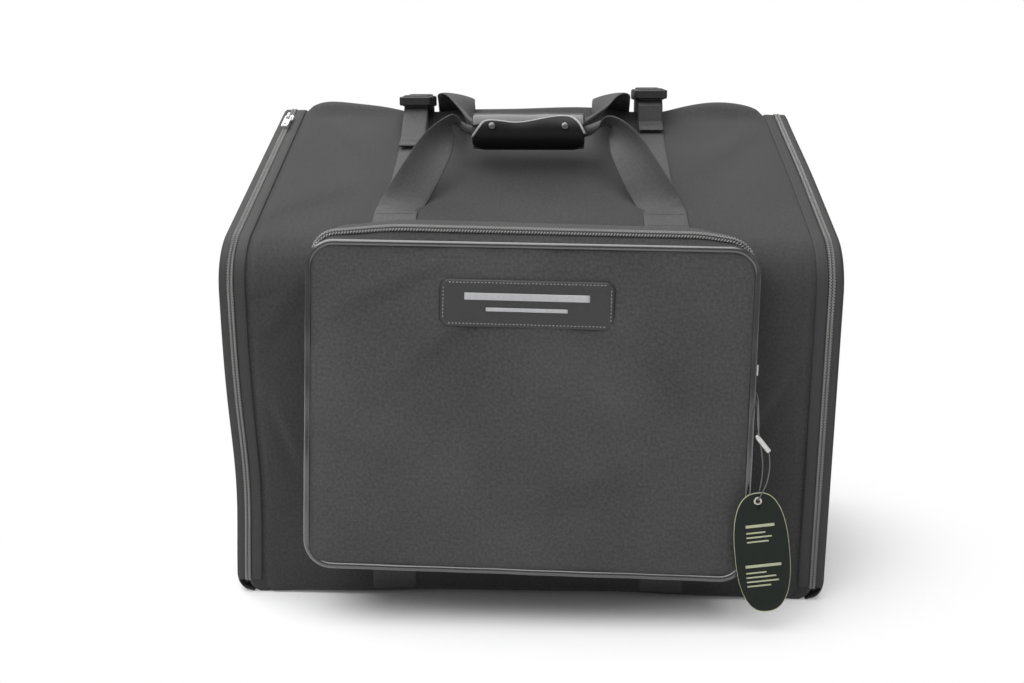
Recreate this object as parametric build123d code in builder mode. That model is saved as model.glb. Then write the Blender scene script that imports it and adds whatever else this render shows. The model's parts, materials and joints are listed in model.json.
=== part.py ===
from build123d import *
import os
from math import cos, hypot, radians, sin, tan

# Soft accordion case: a padded box whose front and slanted top are one zipped flap, with a front pocket.
# X runs across the case, Y from the front to the back, Z up. The origin is the middle of the base, on the
# floor. Lengths are in millimetres, angles in degrees.

os.makedirs("parts", exist_ok=True)

# ---- Driving dimensions ----
# Case
case_width = 540
case_depth = 280
shoulder_height = 316
back_height = 438
shoulder_radius = 50
ridge_radius = 22

# Layers of a padded wall
cover_thick = 1.0
foam_thick = 8.0
lining_thick = 0.8
board_thick = 3.0
part_gap = 0.4
rim_width = 4.0
rim_proud = 1.2

# Zips
chain_width = 6.0
chain_height = 2.6
tape_thick = 1.0
shell_tape_width = 5.5
flap_tape_width = 10.0
zip_foot = 12.0
ridge_zip_height = 404.0
slider_length = 14.0
slider_width = 9.4
slider_plate = 1.2
slider_lift = 0.4
bridge_length = 9.0
bridge_height = 4.2
bridge_wall = 1.2
bridge_width = 2.4
pull_length = 24.0
pull_width = 7.0
pull_thick = 1.4
pull_eye = 1.6
side_slider_behind = 36.0
ridge_slider_inside = 55.0

# Webbing
web_thick = 1.6
wide_web = 40.0
narrow_web = 25.0
band_x = 122.0
band_back_top = 280.0
band_short = 8.0

# Handle and grip
front_leg_x = 122.6
front_leg_foot_y = -98.0
front_leg_sewn_y = -73.0
rear_leg_x = 84.0
rear_hinge_height = 380.0
rear_sewn_length = 42.0
rear_arch = 18.0
grip_x = -3.0
grip_y = 12.0
grip_z = 416.0
grip_length = 108.0
grip_radius = 17.5
leather_thick = 2.2
grip_flap_thick = 2.0
running_gap = 0.3
snap_radius = 3.6
snap_height = 1.4

# Side-release buckles
buckle_width = 34.0
socket_length = 33.0
socket_height = 11.0
socket_mouth_width = 28.0
socket_mouth_height = 6.0
socket_mouth_depth = 24.0
buckle_slot = 3.0
buckle_bar = 3.0
plug_base_length = 21.0
plug_base_height = 9.0
prong_length = 19.0
prong_width = 4.6
prong_gap = 0.4
prong_window = 9.0
prong_barb = 8.0
prong_root = 2.0
buckle_corner = 4.0
buckle_edge_round = 2.0
closure_x = 122.0
left_buckle_y = 104.0
left_buckle_z = 444.0
right_buckle_y = 112.0
right_buckle_z = 451.0
closure_sewn_length = 34.0
slider_stand_off = 11.5
strap_rise = 16.5
left_tail_end_y = 42.0
right_tail_end_y = 76.0
tail_run = 14.0
tail_drop = 6.0
tail_hem_lift = 4.0
anchor_under_leg = 18.0
anchor_lie = 22.0

# Pocket
pocket_x = -2.0
pocket_width = 372.0
pocket_height = 280.0
pocket_corner = 20.0
pocket_base_height = 53.0
pocket_depth = 60.0
pocket_lean = 7.0
pocket_turn = 1.2
pocket_cloth = 1.2
pocket_zip_setback = 10.0
pocket_chain = 5.6
pocket_chain_proud = 1.6
pocket_slider_height = 176.0
piping_radius = 3.0
patch_width = 146.0
patch_height = 43.0
patch_thick = 1.6
patch_corner = 6.0
patch_x = -3.0
patch_y = 230.0

# Hang tag
tag_width = 46.0
tag_height = 108.0
tag_thick = 0.8
tag_clear = 3.2
tag_tilt = 7.5
tag_eye_x = 193.0
tag_eye_z = 121.0
eyelet_radius = 3.6
eyelet_hole = 1.9
loop_radius = 0.5
tag_lock_radius = 1.9
tag_nub_radius = 1.5

# Shoulder straps on the back
pad_width = 60.0
pad_thick = 14.0
pad_top_x = 60.0
pad_foot_x = 106.0
pad_top_z = 330.0
pad_foot_z = 122.0
yoke_width = 220.0
yoke_height = 50.0
lock_width = 33.0
lock_length = 22.0
lock_thick = 5.0
lock_drop = 7.0
lower_foot_x = 196.0
lower_foot_z = 30.0

# ---- Values that follow ----
half_width = case_width / 2
front_y = -case_depth / 2
back_y = case_depth / 2
wall = cover_thick + foam_thick + lining_thick
slope = (back_height - shoulder_height) / case_depth
chain_x = half_width - wall - part_gap / 2
flap_half = chain_x - part_gap / 2
shell_half = chain_x + part_gap / 2
floor_top = wall
side_slider_y = back_y - side_slider_behind
ridge_slider_x = ridge_slider_inside - half_width
sides = (("left", -1), ("right", 1))


def slope_z(y, lift=0.0):
    """Height of the slanted top at depth y, lifted square to the slope."""
    return shoulder_height + (y - front_y) * slope + lift * hypot(1, slope)


def case_outline(inset, bottom):
    """Side outline of the case, moved inwards by inset, down to the height bottom."""
    front = front_y + inset
    back = back_y - inset
    with BuildSketch(Plane.YZ) as area:
        with BuildLine():
            Polyline(
                (front, bottom),
                (front, slope_z(front, -inset)),
                (back, slope_z(back, -inset)),
                (back, bottom),
                close=True,
            )
        make_face()
        fillet(area.vertices().sort_by(Axis.Y)[-1], ridge_radius - inset)
        fillet(area.vertices().group_by(Axis.X)[0].sort_by(Axis.Y)[-1], shoulder_radius - inset)
    return area.sketch_local


def flap_band(outer, inner, front_foot, back_foot):
    """Strip between two outlines that runs up the front, over the slope and down behind the ridge."""
    below = -wall
    outside = 2 * case_depth
    with BuildSketch(Plane.YZ) as band:
        add(case_outline(outer, below))
        add(case_outline(inner, below), mode=Mode.SUBTRACT)
        with BuildLine():
            Polyline(
                (-outside, front_foot),
                (0, front_foot),
                (0, shoulder_height / 2),
                (back_y - 2 * ridge_radius, shoulder_height / 2),
                (back_y - 2 * ridge_radius, back_foot),
                (outside, back_foot),
                (outside, outside),
                (-outside, outside),
                close=True,
            )
        make_face(mode=Mode.INTERSECT)
    return band.sketch_local


def finish(part, label):
    """Name a finished piece and write it."""
    part.label = label
    export_step(part, f"parts/{label}.step")


# ---- Shell: base ----
base_front = front_y + wall + part_gap
base_length = back_y - base_front
base_middle = (back_y + base_front) / 2
base_layers = (
    ("base_cover", 0.0, cover_thick),
    ("base_board", cover_thick, board_thick),
    ("base_foam", cover_thick + board_thick, foam_thick - board_thick),
    ("base_lining", cover_thick + foam_thick, lining_thick),
)
for label, low, thick in base_layers:
    with BuildPart() as base_layer:
        with BuildSketch(Plane.XY.offset(low)):
            with Locations((0, base_middle)):
                Rectangle(2 * shell_half, base_length)
        extrude(amount=thick)
    finish(base_layer.part, label)

# ---- Shell: back ----
back_top = ridge_zip_height - part_gap / 2
back_layers = (
    ("back_cover", 0.0, cover_thick),
    ("back_foam", cover_thick, foam_thick),
    ("back_lining", cover_thick + foam_thick, lining_thick),
)
for label, depth, thick in back_layers:
    with BuildPart() as back_layer:
        with BuildSketch(Plane.XZ.offset(-(back_y - depth))):
            with Locations((0, (back_top + floor_top) / 2)):
                Rectangle(2 * shell_half, back_top - floor_top)
        extrude(amount=thick)
    finish(back_layer.part, label)

# ---- Shell: ends ----
end_layers = (
    ("end_cover", 0.0, cover_thick, 0.0),
    ("end_foam", cover_thick, foam_thick, 0.0),
    ("end_lining", cover_thick + foam_thick, lining_thick, wall),
)
for side, sign in sides:
    for layer, depth, thick, inset in end_layers:
        outer_x = half_width - depth
        with BuildPart() as end_layer:
            with BuildSketch(Plane.YZ.offset(sign * outer_x)):
                add(case_outline(inset, inset))
            extrude(amount=-sign * thick)
        finish(end_layer.part, f"{side}_{layer}")

# The rim is a binding round the edge of each end, proud of its cover
with BuildPart() as end_rims:
    with BuildSketch(Plane.YZ.offset(half_width)):
        add(case_outline(0, 0))
        add(case_outline(rim_width, rim_width), mode=Mode.SUBTRACT)
    extrude(amount=rim_proud)
    mirror(about=Plane.YZ)
finish(end_rims.part, "end_rims")

# ---- Flap walls ----
flap_foot = part_gap
flap_lip = ridge_zip_height + part_gap / 2
flap_layers = (
    ("front_cover", 0.0, cover_thick),
    ("front_foam", cover_thick, foam_thick),
    ("front_lining", cover_thick + foam_thick, lining_thick),
)
for label, depth, thick in flap_layers:
    with BuildPart() as flap_layer:
        with BuildSketch(Plane.YZ):
            add(flap_band(depth, depth + thick, flap_foot, flap_lip))
        extrude(amount=flap_half, both=True)
    finish(flap_layer.part, label)

# ---- Main zip: one chain half and one tape on the shell, the others on the flap ----
half_chain = (chain_width - part_gap) / 2
shell_chain_out = shell_half + half_chain
flap_chain_in = flap_half - half_chain
ridge_chain_low = back_top - half_chain
ridge_chain_high = flap_lip + half_chain


def ridge_strip(low, high, proud, reach):
    """Straight strip of the zip across the back, just under the ridge."""
    with BuildSketch(Plane.XZ.offset(-back_y)) as strip:
        with Locations((0, (low + high) / 2)):
            Rectangle(2 * reach, high - low)
    extrude(strip.sketch, amount=-proud)


with BuildPart() as shell_zip_tape:
    with BuildSketch(Plane.YZ.offset(shell_chain_out)):
        add(flap_band(-tape_thick, 0, zip_foot, ridge_chain_low - flap_tape_width))
    extrude(amount=shell_tape_width)
    mirror(about=Plane.YZ)
    ridge_strip(ridge_chain_low - flap_tape_width, ridge_chain_low, tape_thick, shell_chain_out)
finish(shell_zip_tape.part, "shell_zip_tape")

with BuildPart() as shell_zip_coil:
    with BuildSketch(Plane.YZ.offset(shell_half)):
        add(flap_band(-chain_height, 0, zip_foot, ridge_chain_low))
    extrude(amount=half_chain)
    mirror(about=Plane.YZ)
    ridge_strip(ridge_chain_low, back_top, chain_height, shell_half)
finish(shell_zip_coil.part, "shell_zip_coil")

with BuildPart() as flap_zip_tape:
    with BuildSketch(Plane.YZ.offset(flap_chain_in - flap_tape_width)):
        add(flap_band(-tape_thick, 0, zip_foot, ridge_chain_high))
    extrude(amount=flap_tape_width)
    mirror(about=Plane.YZ)
    ridge_strip(ridge_chain_high, ridge_chain_high + flap_tape_width, tape_thick, flap_chain_in)
finish(flap_zip_tape.part, "flap_zip_tape")

with BuildPart() as flap_zip_coil:
    with BuildSketch(Plane.YZ.offset(flap_chain_in)):
        add(flap_band(-chain_height, 0, zip_foot, flap_lip))
    extrude(amount=half_chain)
    mirror(about=Plane.YZ)
    ridge_strip(flap_lip, ridge_chain_high, chain_height, flap_chain_in)
finish(flap_zip_coil.part, "flap_zip_coil")


# ---- Zip sliders and pulls ----
# Each is drawn on a plane that touches the crown of the chain: x across the zip, y along it, z outwards.
def zip_slider(at, chain):
    """Top plate with two flanges over the chain's edges and an arched bridge for the pull."""
    inside = chain + 2 * slider_lift
    with BuildPart() as slider:
        with BuildSketch(at.offset(slider_lift)):
            RectangleRounded(slider_width, slider_length, slider_width / 3)
        extrude(amount=slider_plate)
        with BuildSketch(at.offset(slider_lift)):
            with Locations(((slider_width + inside) / 4, 0), (-(slider_width + inside) / 4, 0)):
                Rectangle((slider_width - inside) / 2, slider_length * 0.6)
        extrude(amount=-(slider_lift + chain_height / 2 - part_gap))
        bridge_foot = slider_lift + slider_plate
        bridge_side = Plane(
            origin=at.from_local_coords((-bridge_width / 2, 0, 0)), x_dir=at.y_dir, z_dir=at.x_dir
        )
        with BuildSketch(bridge_side):
            with Locations((0, bridge_foot + bridge_height / 2 - bridge_wall / 2)):
                Rectangle(bridge_length, bridge_height + bridge_wall)
                Rectangle(
                    bridge_length - 2 * bridge_wall,
                    bridge_height - bridge_wall,
                    mode=Mode.SUBTRACT,
                )
        extrude(amount=bridge_width)
    return slider.part


def zip_pull(at, tilt):
    """Tab with a window that the bridge passes through, turned by tilt about its cross-bar."""
    bar_height = slider_lift + slider_plate + (bridge_height - bridge_wall) / 2
    window = bridge_width + 4 * slider_lift
    window_length = bridge_length - bridge_wall
    pivot = Plane(at.location * Location((0, 0, bar_height), (tilt, 0, 0)))
    with BuildPart() as pull:
        with BuildSketch(pivot.offset(-pull_thick / 2)):
            with Locations((0, -(pull_length - pull_thick) / 2)):
                RectangleRounded(pull_width, pull_length, pull_thick / 2)
            with Locations((0, -(pull_thick + window_length) / 2)):
                Rectangle(window, window_length, mode=Mode.SUBTRACT)
            with Locations((0, -(pull_length - 2 * pull_eye - pull_thick))):
                Circle(pull_eye, mode=Mode.SUBTRACT)
        extrude(amount=pull_thick)
    return pull.part


side_slider_at = Plane(
    origin=(-chain_x, side_slider_y, slope_z(side_slider_y, chain_height)),
    x_dir=(1, 0, 0),
    z_dir=(0, -slope, 1),
)
ridge_slider_at = Plane(
    origin=(ridge_slider_x, back_y + chain_height, ridge_zip_height),
    x_dir=(0, 0, 1),
    z_dir=(0, 1, 0),
)
finish(zip_slider(side_slider_at, chain_width), "side_slider")
finish(zip_pull(side_slider_at, 0), "side_pull")
finish(zip_slider(ridge_slider_at, chain_width), "ridge_slider")
finish(zip_pull(ridge_slider_at, 0), "ridge_pull")


# ---- Webbing on the shell ----
with BuildPart() as body_webbing:
    with BuildSketch(Plane.XZ.offset(-back_y)):
        back_band_middle = (floor_top + band_back_top) / 2
        with Locations((band_x, back_band_middle), (-band_x, back_band_middle)):
            Rectangle(wide_web, band_back_top - floor_top)
    extrude(amount=-web_thick)
finish(body_webbing.part, "body_webbing")

with BuildPart() as strap_anchors:
    with BuildSketch(Plane.XZ.offset(-back_y)):
        for sign in (-1, 1):
            with Locations((sign * rear_leg_x, rear_hinge_height - rear_sewn_length / 2)):
                Rectangle(wide_web, rear_sewn_length)
            with Locations((sign * (closure_x + part_gap), rear_hinge_height - closure_sewn_length / 2)):
                Rectangle(narrow_web, closure_sewn_length)
    extrude(amount=-web_thick)
finish(strap_anchors.part, "strap_anchors")

# ---- Shoulder straps ----
with BuildPart() as strap_yoke:
    with BuildSketch(Plane.XZ.offset(-back_y)):
        with Locations((0, pad_top_z - yoke_height / 2)):
            RectangleRounded(yoke_width, yoke_height, yoke_height / 6)
    extrude(amount=-web_thick)
finish(strap_yoke.part, "strap_yoke")

for side, sign in sides:
    with BuildPart() as shoulder_strap:
        with BuildSketch(Plane.XZ.offset(-(back_y + web_thick))):
            with BuildLine():
                Spline(
                    (sign * pad_top_x, pad_top_z),
                    (sign * (pad_top_x + pad_foot_x) / 2, (pad_top_z + pad_foot_z) / 2),
                    (sign * pad_foot_x, pad_foot_z),
                    tangents=((0, -1), (sign * 0.2, -1)),
                )
            trace(line_width=pad_width)
        extrude(amount=-pad_thick)
        fillet(shoulder_strap.faces().sort_by(Axis.Y)[-1].edges(), pad_thick / 3)
    finish(shoulder_strap.part, f"{side}_shoulder_strap")

with BuildPart() as ladder_locks:
    with BuildSketch(Plane.XZ.offset(-(back_y + web_thick))):
        with Locations(
            (pad_foot_x, pad_foot_z - lock_length / 2 - lock_drop),
            (-pad_foot_x, pad_foot_z - lock_length / 2 - lock_drop),
        ):
            RectangleRounded(lock_width, lock_length, lock_length / 8)
            with Locations((0, lock_length / 4), (0, -lock_length / 4)):
                Rectangle(narrow_web + 1, buckle_slot, mode=Mode.SUBTRACT)
    extrude(amount=-lock_thick)
finish(ladder_locks.part, "ladder_locks")

strap_top_z = pad_foot_z - lock_length - lock_drop
with BuildPart() as lower_straps:
    with BuildSketch(Plane.XZ.offset(-back_y)):
        for sign in (-1, 1):
            with BuildLine():
                Line((sign * pad_foot_x, pad_foot_z - lock_length), (sign * lower_foot_x, lower_foot_z))
            trace(line_width=narrow_web)
        with Locations((band_x, 0), (-band_x, 0)):
            Rectangle(wide_web + 2 * part_gap, 2 * band_back_top, mode=Mode.SUBTRACT)
    extrude(amount=-web_thick)
    with BuildSketch(Plane.XZ.offset(-(back_y + web_thick))):
        for sign in (-1, 1):
            with BuildLine():
                Line((sign * pad_foot_x, strap_top_z), (sign * lower_foot_x, lower_foot_z))
            trace(line_width=narrow_web)
        with Locations((0, strap_top_z + lock_length)):
            Rectangle(case_width, 2 * lock_length, mode=Mode.SUBTRACT)
    extrude(amount=-web_thick)
finish(lower_straps.part, "lower_straps")


# ---- Handles ----
def ribbon(stations):
    """Webbing lofted through rectangles, each given as centre, way along, way across, width and thickness."""
    sections = []
    for centre, along, across, width, thick in stations:
        with BuildSketch(Plane(origin=centre, x_dir=across, z_dir=along)) as section:
            Rectangle(width, thick)
        sections.append(section.sketch.face())
    loft(sections, ruled=True)


def grip_half(toward):
    """Half of the padded core inside the grip, on the front (-1) or rear (1) side."""
    core_radius = grip_radius - leather_thick - running_gap
    core_length = grip_length + 2
    with BuildSketch(Plane.YZ.offset(grip_x - core_length / 2)) as half:
        with Locations((grip_y, grip_z)):
            Circle(core_radius)
        with Locations((grip_y - toward * (core_radius - part_gap / 2), grip_z)):
            Rectangle(2 * core_radius, 3 * core_radius, mode=Mode.SUBTRACT)
    extrude(half.sketch, amount=core_length)


def course(leg, end, stations):
    """Ribbon sections between a leg and the grip: parts of the way in x, y and z, then the section."""
    return tuple(
        (tuple(a + (b - a) * part for a, b, part in zip(leg, end, parts)), along, across, width, thick)
        for parts, along, across, width, thick in stations
    )


core_offset = 7.2
core_web = 13.0
core_web_thick = 9.0
with BuildPart() as front_handle:
    grip_half(-1)
    for side, sign in sides:
        flat = ((0, 1, slope), (1, 0, 0), wide_web, web_thick)
        foot = (sign * front_leg_x, front_leg_foot_y, slope_z(front_leg_foot_y, web_thick / 2))
        sewn = (sign * front_leg_x, front_leg_sewn_y, slope_z(front_leg_sewn_y, web_thick / 2))
        end = (grip_x + sign * (grip_length / 2 + 1), grip_y - core_offset, grip_z)
        free = course(
            sewn,
            end,
            (
                ((0.12, 0.40, 0.35), (-sign * 0.3, 1, 0.8), (1, sign * 0.3, 0), wide_web, web_thick),
                ((0.38, 0.76, 0.67), (-sign * 0.6, 0.9, 0.6), (0.83, sign * 0.55, 0), 0.85 * wide_web, 2.4),
                ((0.66, 0.94, 0.94), (-sign, 0.4, 0.3), (0.4, sign * 0.92, 0), wide_web / 2, 5),
                ((1, 1, 1), (-sign, 0, 0), (0, sign, 0), core_web, core_web_thick),
            ),
        )
        ribbon(((foot, *flat), (sewn, *flat), *free))
finish(front_handle.part, "front_handle")

with BuildPart() as rear_handle:
    grip_half(1)
    for side, sign in sides:
        upright = ((0, 0, 1), (1, 0, 0), wide_web, web_thick)
        foot = (sign * rear_leg_x, back_y + web_thick / 2, rear_hinge_height + part_gap)
        beside = (sign * rear_leg_x, back_y + slider_stand_off, rear_hinge_height + strap_rise)
        above = (beside[0], beside[1] + web_thick, rear_hinge_height + 2.2 * strap_rise)
        crest = (sign * rear_leg_x, back_y, back_height + rear_arch)
        end = (grip_x + sign * (grip_length / 2 + 1), grip_y + core_offset, grip_z)
        free = course(
            crest,
            end,
            (
                ((0.03, 0.02, -0.04), (0, -0.8, 0.6), (1, 0, 0), wide_web, web_thick),
                ((0.13, 0.33, -0.15), (-sign * 0.1, -1, -0.1), (1, -sign * 0.1, 0), 0.95 * wide_web, 2),
                ((0.31, 0.70, 0.25), (-sign * 0.3, -1, -0.4), (1, -sign * 0.3, 0), 0.75 * wide_web, 3),
                ((0.56, 0.89, 0.80), (-sign * 0.8, -0.6, -0.2), (0.5, -sign * 0.8, 0), 0.45 * wide_web, 6),
                ((1, 1, 1), (-sign, 0, 0), (0, -sign, 0), core_web, core_web_thick),
            ),
        )
        ribbon(((foot, *upright), (beside, *upright), (above, *upright), *free))
finish(rear_handle.part, "rear_handle")


# ---- Grip ----
# Angles run from the front of the grip upwards and over the top
sleeve_start = 20
sleeve_end = 285
flap_start = -73
flap_end = 52
snap_angle = 16


def grip_sector(inner, outer, start, end):
    """Piece of a ring round the grip's axis, between two angles, along the whole grip."""
    reach = 3 * grip_radius
    steps = 12
    turns = [radians(start + (end - start) * i / steps) for i in range(steps + 1)]
    fan = [(-reach * cos(turn), reach * sin(turn)) for turn in turns]
    with BuildSketch(Plane.YZ.offset(grip_x - grip_length / 2)) as sector:
        with Locations((grip_y, grip_z)):
            Circle(outer)
            Circle(inner, mode=Mode.SUBTRACT)
            with BuildLine():
                Polyline((grip_y, grip_z), *[(grip_y + y, grip_z + z) for y, z in fan], close=True)
            make_face(mode=Mode.INTERSECT)
    extrude(sector.sketch, amount=grip_length)


with BuildPart() as grip_sleeve:
    grip_sector(grip_radius - leather_thick, grip_radius, sleeve_start, sleeve_end)
finish(grip_sleeve.part, "grip_sleeve")

wrap_left = grip_x - grip_length / 2 - 1
wrap_right = grip_x + grip_length / 2 + 1
flap_inner = grip_radius + running_gap
flap_outer = flap_inner + grip_flap_thick
with BuildPart() as grip_flap:
    grip_sector(flap_inner, flap_outer, flap_start, flap_end)
    with BuildSketch(Plane.XZ.offset(-grip_y)):
        with BuildLine():
            Spline(
                (wrap_left, grip_z - 0.34 * grip_radius),
                (grip_x - grip_length / 3, grip_z + 0.60 * grip_radius),
                (grip_x - grip_length / 8, grip_z + 0.51 * grip_radius),
                (grip_x + grip_length / 3, grip_z + 0.86 * grip_radius),
                (wrap_right, grip_z - 0.17 * grip_radius),
            )
            Polyline(
                (wrap_right, grip_z - 0.17 * grip_radius),
                (grip_x + grip_length, grip_z + 3 * grip_radius),
                (grip_x - grip_length, grip_z + 3 * grip_radius),
                (wrap_left, grip_z - 0.34 * grip_radius),
            )
        make_face()
    extrude(amount=3 * grip_radius, mode=Mode.SUBTRACT)
finish(grip_flap.part, "grip_flap")

snap_x = grip_length / 3 - 1
with BuildPart() as snap_caps:
    for sign in (-1, 1):
        snap_at = Plane(
            origin=(
                grip_x + sign * snap_x,
                grip_y - (flap_outer - running_gap / 4) * cos(radians(snap_angle)),
                grip_z + (flap_outer - running_gap / 4) * sin(radians(snap_angle)),
            ),
            x_dir=(1, 0, 0),
            z_dir=(0, -cos(radians(snap_angle)), sin(radians(snap_angle))),
        )
        with BuildSketch(snap_at):
            Circle(snap_radius)
        extrude(amount=snap_height)
    add(grip_flap.part, mode=Mode.SUBTRACT)
finish(snap_caps.part, "snap_caps")


# ---- Side-release buckles ----
plug_slot_a = -6.5
plug_slot_b = -13.5


# Drawn from the mouth of the socket: x across, y back along the strap, z up
def buckle_socket(mouth):
    """Hollow half with side windows for the prongs and a bar for the strap."""
    bar_y = socket_length - buckle_bar - buckle_slot / 2
    window_y = socket_mouth_depth - prong_window / 2 - buckle_edge_round
    with BuildPart() as socket:
        with BuildSketch(mouth.offset(-socket_height / 2)):
            with Locations((0, socket_length / 2)):
                RectangleRounded(buckle_width, socket_length, buckle_corner)
        extrude(amount=socket_height)
        outer = socket.faces().group_by(Axis.Z)
        fillet(outer[0].edges() + outer[-1].edges(), buckle_edge_round)
        with BuildSketch(mouth.offset(-socket_mouth_height / 2)):
            with Locations((0, socket_mouth_depth / 2)):
                Rectangle(socket_mouth_width, socket_mouth_depth)
            with Locations((0, window_y)):
                Rectangle(2 * buckle_width, prong_window)
        extrude(amount=socket_mouth_height, mode=Mode.SUBTRACT)
        with BuildSketch(mouth.offset(-socket_height)):
            with Locations((0, bar_y)):
                Rectangle(narrow_web + 1, buckle_slot)
        extrude(amount=2 * socket_height, mode=Mode.SUBTRACT)
    return socket.part


def buckle_plug(mouth):
    """Prongs and guide that enter the socket, and a ladder of two slots for the adjustable strap."""
    prong_x = socket_mouth_width / 2 - prong_gap - prong_width / 2
    prong_height = socket_mouth_height - 2 * prong_gap
    with BuildPart() as plug:
        with BuildSketch(mouth.offset(-plug_base_height / 2)):
            with Locations((0, -part_gap - plug_base_length / 2)):
                RectangleRounded(buckle_width, plug_base_length, buckle_corner)
        extrude(amount=plug_base_height)
        outer = plug.faces().group_by(Axis.Z)
        fillet(outer[0].edges() + outer[-1].edges(), 0.75 * buckle_edge_round)
        with BuildSketch(mouth.offset(-prong_height / 2)):
            with Locations((0, socket_mouth_depth / 3 - part_gap)):
                Rectangle(buckle_bar, 2 * socket_mouth_depth / 3)
            for sign in (-1, 1):
                with BuildLine():
                    Polyline(
                        (sign * (prong_x - prong_width / 2), -prong_root),
                        (sign * (prong_x - prong_width / 2), prong_length - 0.75 * prong_barb),
                        (sign * (prong_x - prong_width / 4), prong_length),
                        (sign * (prong_x + prong_width / 4), prong_length),
                        (sign * (prong_x + prong_width / 2), prong_length - prong_barb / 2),
                        (sign * (prong_x + prong_width / 2), prong_length - prong_barb),
                        (sign * (prong_x + prong_width / 4), prong_length - 1.1 * prong_barb),
                        (sign * (prong_x + prong_width / 4), -prong_root),
                        close=True,
                    )
                make_face()
        extrude(amount=prong_height)
        with BuildSketch(mouth.offset(-socket_height)):
            with Locations((0, plug_slot_a), (0, plug_slot_b)):
                Rectangle(narrow_web + 1, buckle_slot)
        extrude(amount=2 * socket_height, mode=Mode.SUBTRACT)
    return plug.part


web_clear = 0.25
strap_bend = 4.0
socket_bar_y = socket_length - buckle_bar - buckle_slot / 2
buckles = (
    ("left", -closure_x, left_buckle_y, left_buckle_z, left_tail_end_y),
    ("right", closure_x, right_buckle_y, right_buckle_z, right_tail_end_y),
)
for side, x, y, z, tail_end in buckles:
    mouth = Plane(origin=(x, y, z), x_dir=(1, 0, 0), z_dir=(0, 0, 1))
    finish(buckle_socket(mouth), f"{side}_buckle_socket")
    finish(buckle_plug(mouth), f"{side}_buckle_plug")

    # The strap rises from the back, passes over the ridge and is sewn round the socket's bar
    bar_front = y + socket_bar_y - web_thick / 2
    bar_back = y + socket_length + web_clear
    loop_half = socket_height / 2 + web_clear
    loop_back = bar_back + web_thick / 2
    with BuildPart() as closure_strap:
        with BuildSketch(Plane.YZ.offset(x - narrow_web / 2)):
            with Locations(((bar_front + bar_back + web_thick) / 2, z)):
                Rectangle(bar_back + web_thick - bar_front, 2 * (loop_half + web_thick))
            with Locations(((bar_front + web_thick + bar_back) / 2, z)):
                Rectangle(bar_back - bar_front - web_thick, 2 * loop_half, mode=Mode.SUBTRACT)
            with BuildLine():
                FilletPolyline(
                    (back_y + web_thick / 2, rear_hinge_height + part_gap),
                    (back_y + web_thick / 2, rear_hinge_height + strap_rise / 4),
                    (back_y + slider_stand_off, rear_hinge_height + strap_rise),
                    (back_y + slider_stand_off + web_thick, rear_hinge_height + 2 * strap_rise),
                    (max(back_y, loop_back) + slider_stand_off, z - loop_half + web_thick),
                    (loop_back, z),
                    radius=strap_bend,
                )
            trace(line_width=web_thick)
        extrude(amount=narrow_web)
    finish(closure_strap.part, f"{side}_closure_strap")

    # The tail threads up and down through the ladder and lies on the slope with its hem
    plug_half = plug_base_height / 2 + web_clear + web_thick / 2
    with BuildPart() as tail:
        with BuildSketch(Plane.YZ.offset(x - narrow_web / 2)):
            with BuildLine():
                FilletPolyline(
                    (y - 1, z - plug_half),
                    (y + plug_slot_a, z - plug_half),
                    (y + plug_slot_a, z + plug_half),
                    (y + plug_slot_b, z + plug_half),
                    (y + plug_slot_b, z - plug_half),
                    (y + plug_slot_b - tail_drop, z - plug_half - tail_drop),
                    (tail_end + tail_run, slope_z(tail_end + tail_run, tail_drop)),
                    (tail_end, slope_z(tail_end, tail_hem_lift)),
                    radius=0.55 * web_thick,
                )
            trace(line_width=web_thick)
        extrude(amount=narrow_web)
    finish(tail.part, f"{side}_tail")

# The anchors of the closures run up the slope from under the front legs to the plugs
with BuildPart() as closure_anchors:
    for side, x, y, z, tail_end in buckles:
        foot_y = front_leg_sewn_y + anchor_under_leg
        with BuildSketch(Plane.YZ.offset(x - narrow_web / 2)):
            with BuildLine():
                FilletPolyline(
                    (foot_y, slope_z(foot_y, web_thick / 2)),
                    (y - anchor_lie, slope_z(y - anchor_lie, web_thick / 2)),
                    (y - buckle_bar, z - plug_base_height / 2 - 3 * web_thick),
                    radius=2 * strap_bend,
                )
            trace(line_width=web_thick)
        extrude(amount=narrow_web)
finish(closure_anchors.part, "closure_anchors")

# Bands on the front, in sight under the pocket
band_height = pocket_base_height - flap_foot - band_short
band_middle = (flap_foot + pocket_base_height) / 2 - 1
with BuildPart() as front_webbing:
    with BuildSketch(Plane.XZ.offset(-front_y)):
        with Locations((band_x, band_middle), (-band_x, band_middle)):
            Rectangle(wide_web, band_height)
    extrude(amount=web_thick)
finish(front_webbing.part, "front_webbing")


# ---- Pocket ----
# The face's plane: x across, y up the face, z out of it; the gusset runs straight back along Y
turn = radians(pocket_turn)
lean = radians(pocket_lean)
face_up = (0, sin(lean), cos(lean))
face_out = (0, -cos(lean), sin(lean))
face_across = (cos(turn), -sin(turn) * face_up[1], -sin(turn) * face_up[2])
face_y = front_y - pocket_depth
face_plane = Plane(origin=(pocket_x, face_y, pocket_base_height), x_dir=face_across, z_dir=face_out)


def face_plane_back(depth):
    """The face's plane, moved straight back by depth."""
    return Plane(
        origin=(pocket_x, face_y + depth, pocket_base_height), x_dir=face_across, z_dir=face_out
    )


def pocket_shape(grow, mode=Mode.ADD):
    """Rounded outline of the pocket's face, grown by a margin."""
    with Locations((0, pocket_height / 2)):
        RectangleRounded(
            pocket_width + 2 * grow, pocket_height + 2 * grow, pocket_corner + grow, mode=mode
        )


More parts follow.
